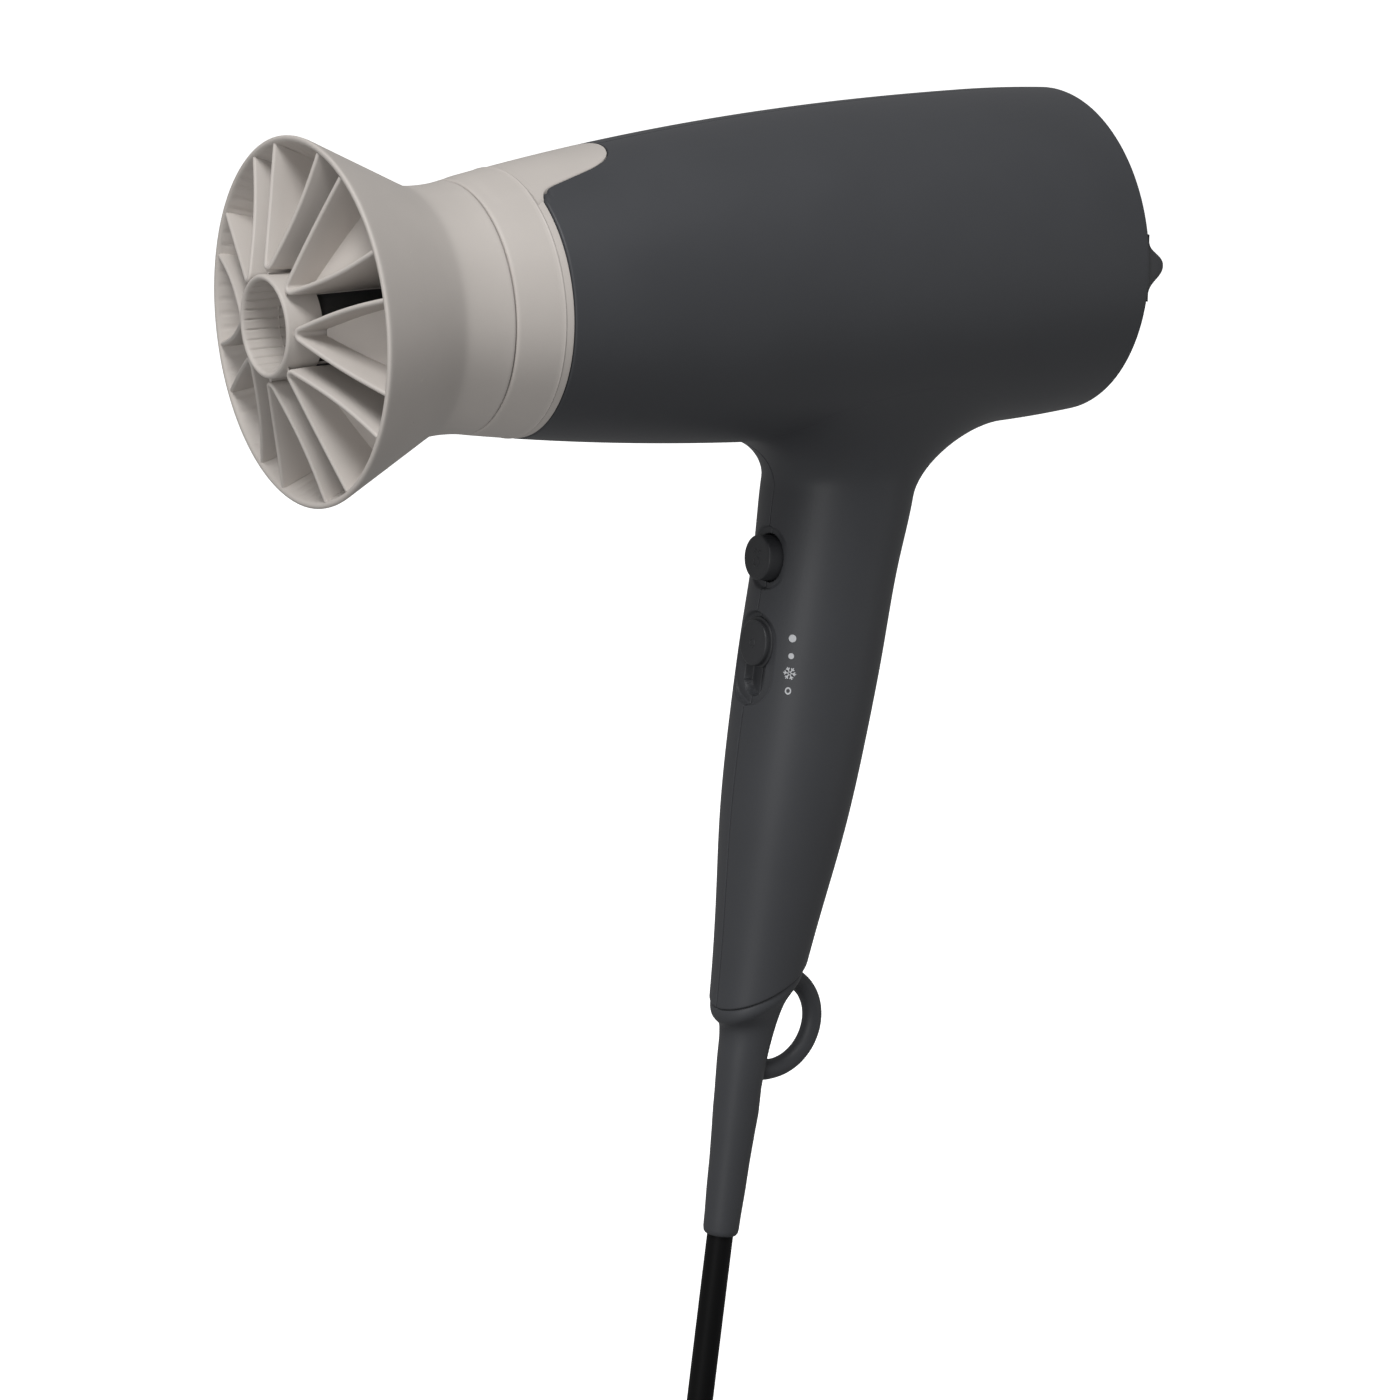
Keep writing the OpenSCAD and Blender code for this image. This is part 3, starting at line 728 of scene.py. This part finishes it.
# ---- Collar -------------------------------------------------------------
def make_collar():
    piece = Piece("collar_skin")
    profile = [(SEAM_X + 0.15, 28.0), (SEAM_X + 0.15, float(barrel_at(-81)) - 0.5),
               (SEAM_X + 0.25, float(barrel_at(-81)) - 0.2), (SEAM_X + 0.5, float(barrel_at(-80.7)) - 0.02)]
    profile += [(x, float(barrel_at(x))) for x in np.linspace(-80, -68.9, 12)]
    # a fine ridge, then a narrow band that dips to the joint with the barrel
    profile += [(-68.75, float(barrel_at(-68.7)) + 0.05), (-68.55, float(barrel_at(-68.5)) + 0.11),
                (-68.35, float(barrel_at(-68.3)) + 0.02)]
    profile += [(x, float(barrel_at(x)) - 0.14) for x in (-68.1, -67.6, -67.0, -66.6)]
    profile += [(-66.3, float(barrel_at(-66)) - 0.22), (-66.05, float(barrel_at(-66)) - 0.5), (-66.0, 31.5)]
    rows = around(profile, 288)
    # a slightly raised flat runs forward from the tongue
    y, z = rows[..., 1], rows[..., 2]
    top = smooth_step((17.0 - np.abs(y)) / 1.0) * (z > 20)
    ahead = smooth_step((-78.2 - rows[..., 0]) / -1.5)
    r = np.hypot(y, z)
    lift = 0.16 * top * ahead * (r > 31)
    rows[..., 1] *= 1 + lift / r
    rows[..., 2] *= 1 + lift / r
    piece.grid(rows, wrap=True)
    edge = tongue_edge(70)
    edge = np.vstack([[-68.0, edge[0][1] + 1.0], edge])
    across = np.concatenate([[-1.0], np.linspace(-0.99, 0.99, 41), [1.0]])
    top_rows = []
    for x, half in edge:
        y = across * half
        r = float(barrel_at(x)) + 0.02
        drop = 0.22 * np.clip(1 - (half - np.abs(y)) / 0.35, 0, 1) ** 2
        rr = r - drop
        top_rows.append(np.stack([np.full_like(y, x), y, np.sqrt(np.maximum(rr ** 2 - y ** 2, 0))], -1))
    top_rows = np.array(top_rows)
    piece.grid(top_rows)
    for column in (0, -1):
        rim = top_rows[:, column]
        low = rim.copy()
        low[:, 2] -= 1.3
        piece.grid([rim, low], flip=column == 0)
    piece.make(GREIGE, "dryer", ["outlet_collar"], "attachment_plastic", sharp=35)


# ---- Nozzle -------------------------------------------------------------
NOZZLE_WALL = 1.7
cone_line = spline([(-104, 36.0), (-100, 34.0), (-97, 32.55), (-95, 31.75), (-93, 31.4), (-90, 31.25),
                    (-86, 31.35), (-83, 31.65), (-81.4, 31.9)])


def cone_outer(x):
    x = np.asarray(x, float)
    slope = (RIM_R - 0.1 - 36.0) / (RIM_X + 0.9 + 104)
    return np.where(x < -104, 36.0 + (x + 104) * slope, cone_line(np.maximum(x, -104)))


def cone_inner(x):
    return cone_outer(x) - NOZZLE_WALL


GROOVES = 76               # fine axial grooves round the cone's inner wall
GROOVE_STEPS = 6


def make_nozzle_shell():
    piece = Piece("nozzle_skin")
    outer = [(SEAM_X - 0.1, 29.8), (SEAM_X - 0.12, float(cone_outer(-81.5)) - 0.45),
             (SEAM_X - 0.25, float(cone_outer(-81.5)) - 0.15), (SEAM_X - 0.5, float(cone_outer(-81.7)))]
    outer += [(x, float(cone_outer(x))) for x in np.linspace(-82.2, RIM_X + 1.4, 60)]
    rim = [(RIM_X + 0.8, RIM_R - 0.12), (RIM_X + 0.35, RIM_R - 0.08), (RIM_X + 0.1, RIM_R - 0.3),
           (RIM_X, RIM_R - 0.75), (RIM_X + 0.1, RIM_R - 1.25), (RIM_X + 0.45, RIM_R - 1.62)]
    count = GROOVES * GROOVE_STEPS
    piece.grid(around(outer + rim, count), wrap=True, flip=True)
    xs = np.concatenate([[RIM_X + 0.45], np.linspace(RIM_X + 1.2, -100, 40), np.linspace(-98, -84, 10)])
    a = 2 * math.pi * np.arange(count) / count
    wave = np.clip(np.abs(((a * GROOVES / (2 * math.pi)) % 1) - 0.5) * 2, 0, 1)
    cut = 0.3 * smooth_step((wave - 0.62) / 0.3)
    rows = []
    for x in xs:
        fade = float(smooth_step((x - RIM_X - 0.5) / 1.5)) * float(smooth_step((-99 - x) / 2.0))
        base = RIM_R - 1.62 if x == xs[0] else min(float(cone_inner(x)), RIM_R - 1.66)
        r = base + cut * fade
        rows.append(np.stack([np.full(count, x), r * np.sin(a), r * np.cos(a)], -1))
    piece.grid(rows, wrap=True, flip=True)
    piece.make(GREIGE, "nozzle", ["nozzle_shell"], "attachment_plastic", sharp=50)
    # a dark sleeve lines the throat behind the vanes: painted shade, standing in for the shadow inside the
    # neck
    shade_sleeve = Piece("nozzle_painted_shade_sleeve")
    line = [(-106.0, float(cone_inner(-106)) + 0.1)]
    line += [(x, float(cone_inner(x)) - 0.2) for x in np.linspace(-105.7, -86, 16)]
    shade_sleeve.grid(around(line, 144), wrap=True)
    shade_sleeve.make(DARK, "nozzle", slot="attachment_plastic")


VANE_PAIRS = 8
VANE_T = 1.3
BACK_SHARE = 0.62        # half a vane's thickness at its back, as a share of VANE_T
ROOT_R = 14.4            # where the middle of a pair's round bottom sits
ROOT_BEND = 1.5          # and its radius
TIP_TURN = math.radians(14.7)
VANE_BACK = -101.0
HUB_END = -124.4         # back of the hub's pale cup
HUB_GROOVES = 28


def vane_front(r):
    """X of a vane's front edge at a radius: it slopes back from the hub to the rim."""
    t = (np.asarray(r) - ROOT_R) / (RIM_R - ROOT_R)
    return HUB_X + 1.0 + 9.2 * t + 0.5 * np.sin(math.pi * np.clip(t, 0, 1))


def vane_line(tip_r, count=33):
    """Middle line of a pair of vanes across the nozzle: tip, round root, tip, as (y, z)."""
    tip = np.array([tip_r * math.sin(TIP_TURN), tip_r * math.cos(TIP_TURN)])
    root = np.array([0.0, ROOT_R])
    # a round bottom joins the two straight sides
    lean = math.atan2(tip[0], tip[1] - ROOT_R)
    bottom = [[ROOT_BEND * math.sin(a), ROOT_BEND * (1 - math.cos(a))]
              for a in np.linspace(0, math.pi / 2 - lean, 7)]
    start = root + bottom[-1]
    away = (tip - start) / np.linalg.norm(tip - start)
    normal = np.array([away[1], -away[0]])
    length = np.linalg.norm(tip - start)
    side = [root + p for p in bottom[:-1]]
    for t in np.linspace(0, 1, count - 6):
        side.append(start + away * length * t + normal * 0.8 * math.sin(math.pi * t))
    side = np.array(side)
    left = side[::-1] * [-1, 1]
    return np.vstack([left, side[1:]])


def make_vanes():
    piece = Piece("vane_set")
    depth = np.array([0.0, 0.12, 0.3, 0.55, 0.8, 1.0])
    for pair in range(VANE_PAIRS):
        turn = pair * 2 * math.pi / VANE_PAIRS
        spin = np.array([[math.cos(turn), math.sin(turn)], [-math.sin(turn), math.cos(turn)]])
        lines = []
        for v in depth:
            x_mid = (RIM_X + 1) + v * (VANE_BACK - RIM_X - 1)
            lines.append(vane_line(float(cone_inner(x_mid)) + 0.3))
        lines = np.array(lines)
        ahead = np.gradient(lines, axis=1)
        ahead /= np.linalg.norm(ahead, axis=-1)[..., None]
        normal = np.stack([-ahead[..., 1], ahead[..., 0]], -1)
        profile = []
        front = lines[0]
        radius = np.linalg.norm(front, axis=-1)
        edge_x = vane_front(radius)
        for k in range(len(depth) - 1, 0, -1):
            x = edge_x + depth[k] * (VANE_BACK - edge_x)
            profile.append((x, lines[k] + normal[k] * VANE_T * BACK_SHARE))
        for k in range(9):
            a = math.pi * k / 8
            x = edge_x + VANE_T / 2 - VANE_T / 2 * math.sin(a)
            profile.append((x, front + normal[0] * VANE_T / 2 * math.cos(a)))
        for k in range(1, len(depth)):
            x = edge_x + depth[k] * (VANE_BACK - edge_x)
            profile.append((x, lines[k] - normal[k] * VANE_T * BACK_SHARE))
        rows = []
        for x, yz in profile:
            yz = yz @ spin.T
            rows.append(np.stack([x, yz[:, 0], yz[:, 1]], -1))
        piece.grid(rows)
        # the short web that ties the root to the hub
        web = []
        for y in (-0.55, 0.55):
            line = []
            for r, x in ((HUB_R - 0.6, HUB_X + 1.6), (ROOT_R + 0.4, HUB_X + 1.6), (ROOT_R + 0.4, VANE_BACK),
                         (HUB_R - 0.6, VANE_BACK)):
                yz = spin @ np.array([y, r])
                line.append((x, yz[0], yz[1]))
            web.append(line + [line[0]])
        piece.grid(web)
        piece.grid([[web[0][0], web[0][1]], [web[1][0], web[1][1]]])
        # the sloping floor of the pocket between the two vanes
        floor = []
        for t in np.linspace(0, 1, 15):
            r = ROOT_R + 1.6 + t * (cone_inner(-112) - ROOT_R - 1.0)
            x = float(vane_front(r)) + 7.5 + 6.5 * t
            tip = vane_line(float(cone_inner(x)) + 0.3)
            half = len(tip) // 2
            wide = np.interp(r, tip[half:, 1], tip[half:, 0])
            ys = np.linspace(-wide, wide, 9)
            yz = np.stack([ys, np.full(9, r)], -1) @ spin.T
            floor.append(np.stack([np.full(9, x), yz[:, 0], yz[:, 1]], -1))
        piece.grid(floor)
    # hub: outer wall, round front edge, grooved inner wall
    count = HUB_GROOVES * 12
    a = 2 * math.pi * np.arange(count) / count
    wave = np.abs(((a * HUB_GROOVES / (2 * math.pi)) % 1) - 0.5) * 2
    groove_cut = 0.32 * smooth_step((wave - 0.7) / 0.25)
    wall = [(HUB_END, HUB_R - 1.9, 0), (HUB_END - 0.2, HUB_R - 0.1, 0), (HUB_X + 0.7, HUB_R, 0),
            (HUB_X + 0.25, HUB_R - 0.15, 0), (HUB_X, HUB_R - 0.5, 0), (HUB_X, HUB_R - 0.95, 0),
            (HUB_X + 0.25, HUB_R - 1.3, 0), (HUB_X + 0.8, HUB_R - 1.5, 0.1), (HUB_X + 1.6, HUB_R - 1.6, 1),
            (HUB_X + 10, HUB_R - 1.8, 1), (HUB_X + 23.8, HUB_R - 2.0, 1)]
    rows = []
    for x, r, grooved in wall:
        rr = r + groove_cut * grooved
        rows.append(np.stack([np.full(count, x), rr * np.sin(a), rr * np.cos(a)], -1))
    piece.grid(rows, wrap=True)
    piece.make(GREIGE, "nozzle", ["nozzle_vanes"], "attachment_plastic", sharp=50)
    # the hub goes on behind its cup as a narrower dark tube
    tail = Piece("hub_tail")
    tail.grid(around([(VANE_BACK + 5, HUB_R - 1.2), (HUB_END, HUB_R - 1.2)], 96), wrap=True)
    tail.make(DARK, "nozzle", slot="attachment_plastic")


# ---- Controls -----------------------------------------------------------
def circle_plan(radius, count=72):
    a = 2 * math.pi * np.arange(count) / count
    return np.stack([radius * np.cos(a), radius * np.sin(a)], -1)


def make_button():
    piece = Piece("cool_shot_cap")
    profile = [(0.0, -5.0), (0.0, 3.3), (0.03, 3.6), (0.14, 3.85), (0.35, 4.02), (0.7, 4.08), (1.5, 4.08),
               (3.5, 4.08)]
    slab_on_front(piece, BUTTON_AT, circle_plan(BUTTON_R), profile)
    # a generic mark of three small rings
    emboss_ring(piece, BUTTON_AT, (-1.1, 0.0), 1.25, 0.28, 4.06)
    emboss_ring(piece, BUTTON_AT, (1.6, -0.9), 0.4, 0.25, 4.06)
    emboss_ring(piece, BUTTON_AT, (1.6, 0.9), 0.4, 0.25, 4.06)
    piece.make(CONTROL, "cool_shot", ["cool_shot_button"], "control_plastic", sharp=50)


def emboss_ring(piece, at, centre, radius, half_width, base):
    """A low raised ring on a control's face."""
    rows = []
    for dr, out in ((-half_width, -0.02), (-half_width * 0.6, 0.12), (0, 0.16), (half_width * 0.6, 0.12),
                    (half_width, -0.02)):
        plan = circle_plan(radius + dr, 36) + np.array(centre)
        rows.append(on_front(at, plan[:, 0], plan[:, 1], base + out))
    piece.grid(rows, wrap=True)


def make_slider():
    piece = Piece("slide_cap")
    profile = [(-0.1, 0.25), (-0.1, 1.3), (-0.02, 1.62), (0.15, 1.85), (0.45, 1.97), (0.8, 2.0), (2, 2.0),
               (4, 2.0)]
    slab_on_front(piece, CAP_AT, circle_plan(CAP_R), profile)
    base = circle_plan(CAP_R + 0.9)
    base[:, 0] = np.maximum(base[:, 0], -(CAP_R + 0.1))
    slab_on_front(piece, CAP_AT, base, [(0.0, -0.4), (0.0, 0.35), (0.12, 0.5), (0.4, 0.56), (2, 0.56)])
    slab_on_front(piece, CAP_AT, circle_plan(SLOT_R - 0.5), [(0, -4.6), (0, 0.3)])
    emboss_ring(piece, CAP_AT, (0.0, 0.0), 1.1, 0.22, 1.98)
    piece.make(CONTROL, "slider", ["slide_switch"], "control_plastic", sharp=50)


MARKS = [("dot", (14.4, -95.3), 1.04), ("dot", (13.8, -100.0), 0.8), ("flake", (13.2, -104.6), 1.8),
         ("ring", (12.6, -109.3), 1.0)]
MARK_BEND = 18.0         # radius of the round surface the marks lie on


def on_side(x, z, lift=0.06):
    """The point on the right side of the grip at this x and height, with its outward direction."""
    down = (z - GRIP_TOP[2]) / GRIP_DOWN[2]
    for _ in range(30):
        r = float(grip_radius(down))
        axis = GRIP_TOP + down * GRIP_DOWN
        along = (x - axis[0]) / GRIP_OUT[0]
        turn = -math.acos(max(-1, min(1, along / r)))
        p = on_grip(np.array(turn), np.array(down), lift)
        down += p[2] - z
    out = math.cos(turn) * GRIP_OUT + math.sin(turn) * GRIP_SIDE
    return p, out


def make_marks():
    piece = Piece("printed_marks")
    for kind, (x, z), size in MARKS:
        centre, out = on_side(x, z)
        down = GRIP_DOWN
        across = np.cross(out, down)

        def at(u, v):
            # keeps the mark on the round surface
            angle = u / MARK_BEND
            base = centre - out * MARK_BEND
            return base + MARK_BEND * (math.cos(angle) * out + math.sin(angle) * across) - v * down

        def patch(points):
            ring = [at(u, v) for u, v in points]
            piece.fan(ring, np.mean(ring, 0) + out * 0.01)
        if kind == "dot":
            patch(circle_plan(size, 28))
        elif kind == "ring":
            outer = circle_plan(1.0, 36) * [size * 0.87, size]
            rows = [[at(*p) for p in outer], [at(*p) for p in outer * 0.58]]
            piece.grid(rows, wrap=True)
        else:
            for arm in range(6):
                a = arm * math.pi / 3
                c, s = math.cos(a), math.sin(a)
                strokes = [((0.25, 0), (size, 0)), ((1.0, 0), (1.45, 0.5)), ((1.0, 0), (1.45, -0.5))]
                for p, q in strokes:
                    p, q = np.array(p), np.array(q)
                    n = np.array([-(q - p)[1], (q - p)[0]])
                    n = n / np.linalg.norm(n) * 0.15
                    corners = [p - n, q - n, q + n, p + n]
                    patch([(c * u - s * v, s * u + c * v) for u, v in corners])
    piece.make(INK, "dryer", ["position_marks"], "mark_ink", sharp=180)


# ---- Handle end ---------------------------------------------------------
RELIEF_LEAN = math.radians(8.2)
RELIEF_DOWN = np.array([-math.sin(RELIEF_LEAN), 0, -math.cos(RELIEF_LEAN)])
RELIEF_AT = np.array([7.44, 0, -210.0])
LOOP_AT = np.array([16.3, 0, -206.3])    # the hanging loop is an arc about this point
LOOP_R = 13.45
LOOP_FROM = -118         # degrees
LOOP_TO = 72
# front point (x, z), rear point (x, z) and half width of each ring, from the seam down
CAP_RINGS = [((-0.7, -198.6), (24.2, -188.0), 11.5), ((-1.4, -199.1), (24.8, -188.3), 11.8),
             ((-1.7, -199.9), (24.6, -189.2), 11.9), ((-1.75, -201.2), (24.0, -190.6), 11.8),
             ((-1.4, -202.6), (23.0, -192.1), 11.2), ((-0.5, -203.7), (21.8, -194.0), 10.1),
             ((0.3, -204.7), (20.0, -197.0), 8.9), ((0.55, -206.3), (18.2, -200.8), 8.0),
             ((0.45, -209.5), (16.2, -205.8), 7.5), ((-0.1, -213.5), (14.5, -211.3), 7.1),
             ((-0.6, -218.5), (13.0, -217.0), 6.85), ((-1.15, -224.0), (11.8, -223.0), 6.5)]


def cap_ring(front, rear, half, count=72):
    front, rear = np.array([front[0], 0, front[1]]), np.array([rear[0], 0, rear[1]])
    centre, reach = (front + rear) / 2, (rear - front) / 2
    a = 2 * math.pi * np.arange(count) / count
    return centre + np.cos(a)[:, None] * reach + (half * np.sin(a))[:, None] * GRIP_SIDE


def sleeve_ring(down, radius, count=72):
    centre = RELIEF_AT + down * RELIEF_DOWN
    out = np.array([math.cos(RELIEF_LEAN), 0, -math.sin(RELIEF_LEAN)])
    a = 2 * math.pi * np.arange(count) / count
    return centre + radius * (np.cos(a)[:, None] * out + np.sin(a)[:, None] * GRIP_SIDE)


def make_end_cap():
    piece = Piece("handle_end")
    knots = np.array([[*f, *r, h] for f, r, h in CAP_RINGS])
    t = np.arange(len(knots))
    fine = np.linspace(0, len(knots) - 1, 56)
    values = np.stack([spline(list(zip(t, knots[:, k])))(fine) for k in range(5)], -1)
    rows = [cap_ring((v[0], v[1]), (v[2], v[3]), v[4]) for v in values]
    inner_top = rows[0] + (rows[0].mean(0) - rows[0]) * 0.3
    for down, r in ((20, 6.35), (26, 6.0), (34, 5.62), (42, 5.42), (50, 5.06), (53.3, 4.98), (54.4, 4.8),
                    (54.9, 4.45), (55, 4.0), (54.6, 3.75), (52, 3.72)):
        rows.append(sleeve_ring(down, r))
    piece.grid([inner_top] + rows, wrap=True)
    # hanging loop
    ring_rows = []
    for k in range(61):
        a = math.radians(LOOP_FROM + (LOOP_TO - LOOP_FROM) * k / 60)
        t = k / 60
        bar = 2.72 + 0.5 * math.exp(-((1 - t) / 0.06) ** 2) + 0.25 * math.exp(-((t - 0.08) / 0.05) ** 2)
        radial = np.array([math.cos(a), 0, math.sin(a)])
        centre = LOOP_AT + LOOP_R * radial
        b = 2 * math.pi * np.arange(28) / 28
        ring_rows.append(centre + bar * (np.cos(b)[:, None] * radial + np.sin(b)[:, None] * GRIP_SIDE))
    piece.grid(ring_rows, wrap=True)
    piece.make(CHARCOAL, "dryer", ["handle_end_cap"], "housing_plastic", sharp=60)


# ---- Rear cap -----------------------------------------------------------
BAR_RISE = 6.1           # height of the grip bar behind the rim
BAR_HALF = 9.0


def make_rear_cap():
    piece = Piece("rear_cap_skin")
    out = float(barrel_at(REAR_X)) - WALL - 1.0
    rim = rounded([(97, out - 0.2), (REAR_X + 0.2, out), (REAR_X + 1.0, out - 1.0),
                   (REAR_X + 0.6, out - 3.2), (REAR_X - 2, out - 3.6)], 0.6)
    piece.grid(around(dense_profile(rim, 2.0), 144), wrap=True, flip=True)
    for r in np.arange(9, 37, 4.0):
        bar = rounded([(REAR_X - 2.4, r + 0.7), (REAR_X - 0.2, r + 0.7), (REAR_X - 0.2, r - 0.7),
                       (REAR_X - 2.4, r - 0.7)], 0.4)
        piece.grid(around(bar, 120), wrap=True, flip=True)
    hub = rounded([(REAR_X - 2.4, 5.4), (REAR_X + 0.2, 5.4), (REAR_X + 0.6, 0.01)], 0.8)
    piece.grid(around(hub, 60), wrap=True, flip=True)
    for k in range(12):
        turn = math.radians(30 * k + 15)
        rows = []
        for r in np.linspace(4.8, out - 3.0, 16):
            ring = []
            for w, x in ((-0.75, -2.4), (-0.75, -0.35), (-0.5, -0.08), (0.5, -0.08), (0.75, -0.35),
                         (0.75, -2.4)):
                c, s = math.cos(turn), math.sin(turn)
                ring.append((REAR_X + x, w * c + r * s, -w * s + r * c))
            rows.append(ring)
        piece.grid(rows, wrap=True)
    # the grip bar across the cap swells out of it and ends in a round fin at each side
    rows = []
    reach = out + 2.1
    for y in np.concatenate([np.linspace(-reach, -reach + 1.6, 7),
                             np.linspace(-reach + 2.4, reach - 2.4, 50), np.linspace(reach - 1.6, reach, 7)]):
        end = max(0.0, abs(y) - (reach - 1.6)) / 1.6
        rise = BAR_RISE * math.sqrt(max(0.0, 1 - end ** 2))
        ring = []
        for z in np.linspace(-BAR_HALF, BAR_HALF, 31):
            bell = math.exp(-abs(z / 4.6) ** 2.4) - math.exp(-(BAR_HALF / 4.6) ** 2.4)
            ring.append((REAR_X + 0.35 + rise * bell, y, z))
        rows.append(ring)
    piece.grid(rows)
    piece.make(GRILLE, "rear_cap", ["rear_grille"], "grille_plastic", sharp=50)


make_housing()
make_collar()
make_nozzle_shell()
make_vanes()
make_button()
make_slider()
make_marks()
make_end_cap()
make_rear_cap()


# ---- Floor and light ----------------------------------------------------
# The floor and the wall glow with painted light, except in a pool about the object's foot that only the lamps
# light
POOL_AHEAD = 0.25        # the floor doesn't glow about a point this far in front of the object
POOL_R = 0.38
POOL_EDGE = 0.2          # over which the glow comes up to PAINTED_GLOW
PAINTED_GLOW = 0.9
ROOM_R = 6.0
ROOM_H = 5.0


def floor_paper_painted_glow():
    """White paper with painted light: it glows softly away from the object's foot, so the background stays
    white.
    """
    paper = plastic("floor_paper_painted_glow", (0.8, 0.8, 0.8), 0.8, 0.0, mottle=0.004, specular=0.1)
    nodes, links = paper.node_tree.nodes, paper.node_tree.links
    place = nodes.new("ShaderNodeTexCoord")
    apart = nodes.new("ShaderNodeVectorMath")
    apart.operation = "DISTANCE"
    links.new(place.outputs["Object"], apart.inputs[0])
    away = AIM - EYE
    away.z = 0
    foot = AIM - away.normalized() * POOL_AHEAD
    foot.z = FLOOR_Z
    apart.inputs[1].default_value = foot
    glow = nodes.new("ShaderNodeMapRange")
    glow.interpolation_type = "SMOOTHSTEP"
    glow.inputs["From Min"].default_value = POOL_R - POOL_EDGE
    glow.inputs["From Max"].default_value = POOL_R
    glow.inputs["To Max"].default_value = PAINTED_GLOW
    links.new(apart.outputs["Value"], glow.inputs["Value"])
    shader = nodes["Principled BSDF"]
    shader.inputs["Emission Color"].default_value = (1, 1, 1, 1)
    links.new(glow.outputs["Result"], shader.inputs["Emission Strength"])
    return paper


def make_floor():
    """The floor, and a round wall far around it that casts no shadow; both glow with painted light."""
    z = FLOOR_Z - 0.0002
    turns = np.linspace(0, 2 * math.pi, 97)[:-1]
    around_room = [(ROOM_R * math.cos(a), ROOM_R * math.sin(a)) for a in turns]
    count = len(around_room)
    low = [(x, y, z) for x, y in around_room]
    high = [(x, y, z + ROOM_H) for x, y in around_room]
    sides = [(k, (k + 1) % count, (k + 1) % count + count, k + count) for k in range(count)]
    pieces = []
    for name, points, faces in (("floor", low, [tuple(range(count))]), ("wall", low + high, sides)):
        mesh = bpy.data.meshes.new(name)
        mesh.from_pydata(points, [], faces)
        piece = bpy.data.objects.new(name, mesh)
        bpy.context.scene.collection.objects.link(piece)
        mesh.materials.append(floor_paper_painted_glow())
        # it throws no light back up at the object
        piece.visible_diffuse = False
        piece.visible_glossy = False
        pieces.append(piece)
    pieces[1].visible_shadow = False


def add_light(name, at, aim, power, size):
    data = bpy.data.lights.new(name, "AREA")
    data.energy = power
    data.shape = "RECTANGLE"
    data.size, data.size_y = size
    light = bpy.data.objects.new(name, data)
    bpy.context.scene.collection.objects.link(light)
    light.location = Vector(at)
    light.rotation_euler = (Vector(aim) - Vector(at)).to_track_quat("-Z", "Y").to_euler()


make_floor()
backdrop = bpy.data.worlds.new("white_room")
bpy.context.scene.world = backdrop
backdrop.use_nodes = True
backdrop.node_tree.nodes["Background"].inputs["Color"].default_value = (1, 1, 1, 1)
backdrop.node_tree.nodes["Background"].inputs["Strength"].default_value = 0.3
add_light("key", (-0.9, -0.8, 1.9), (0, 0, 0.08), 36, (0.8, 0.8))
add_light("left", (-1.5, -1.0, 0.02), (0, 0, -0.02), 9, (0.3, 0.9))
add_light("right", (0.8, -0.75, -0.05), (0.02, 0, -0.05), 0.5, (0.4, 0.8))
bpy.context.scene.view_settings.view_transform = "Standard"
bpy.context.scene.view_settings.look = "None"
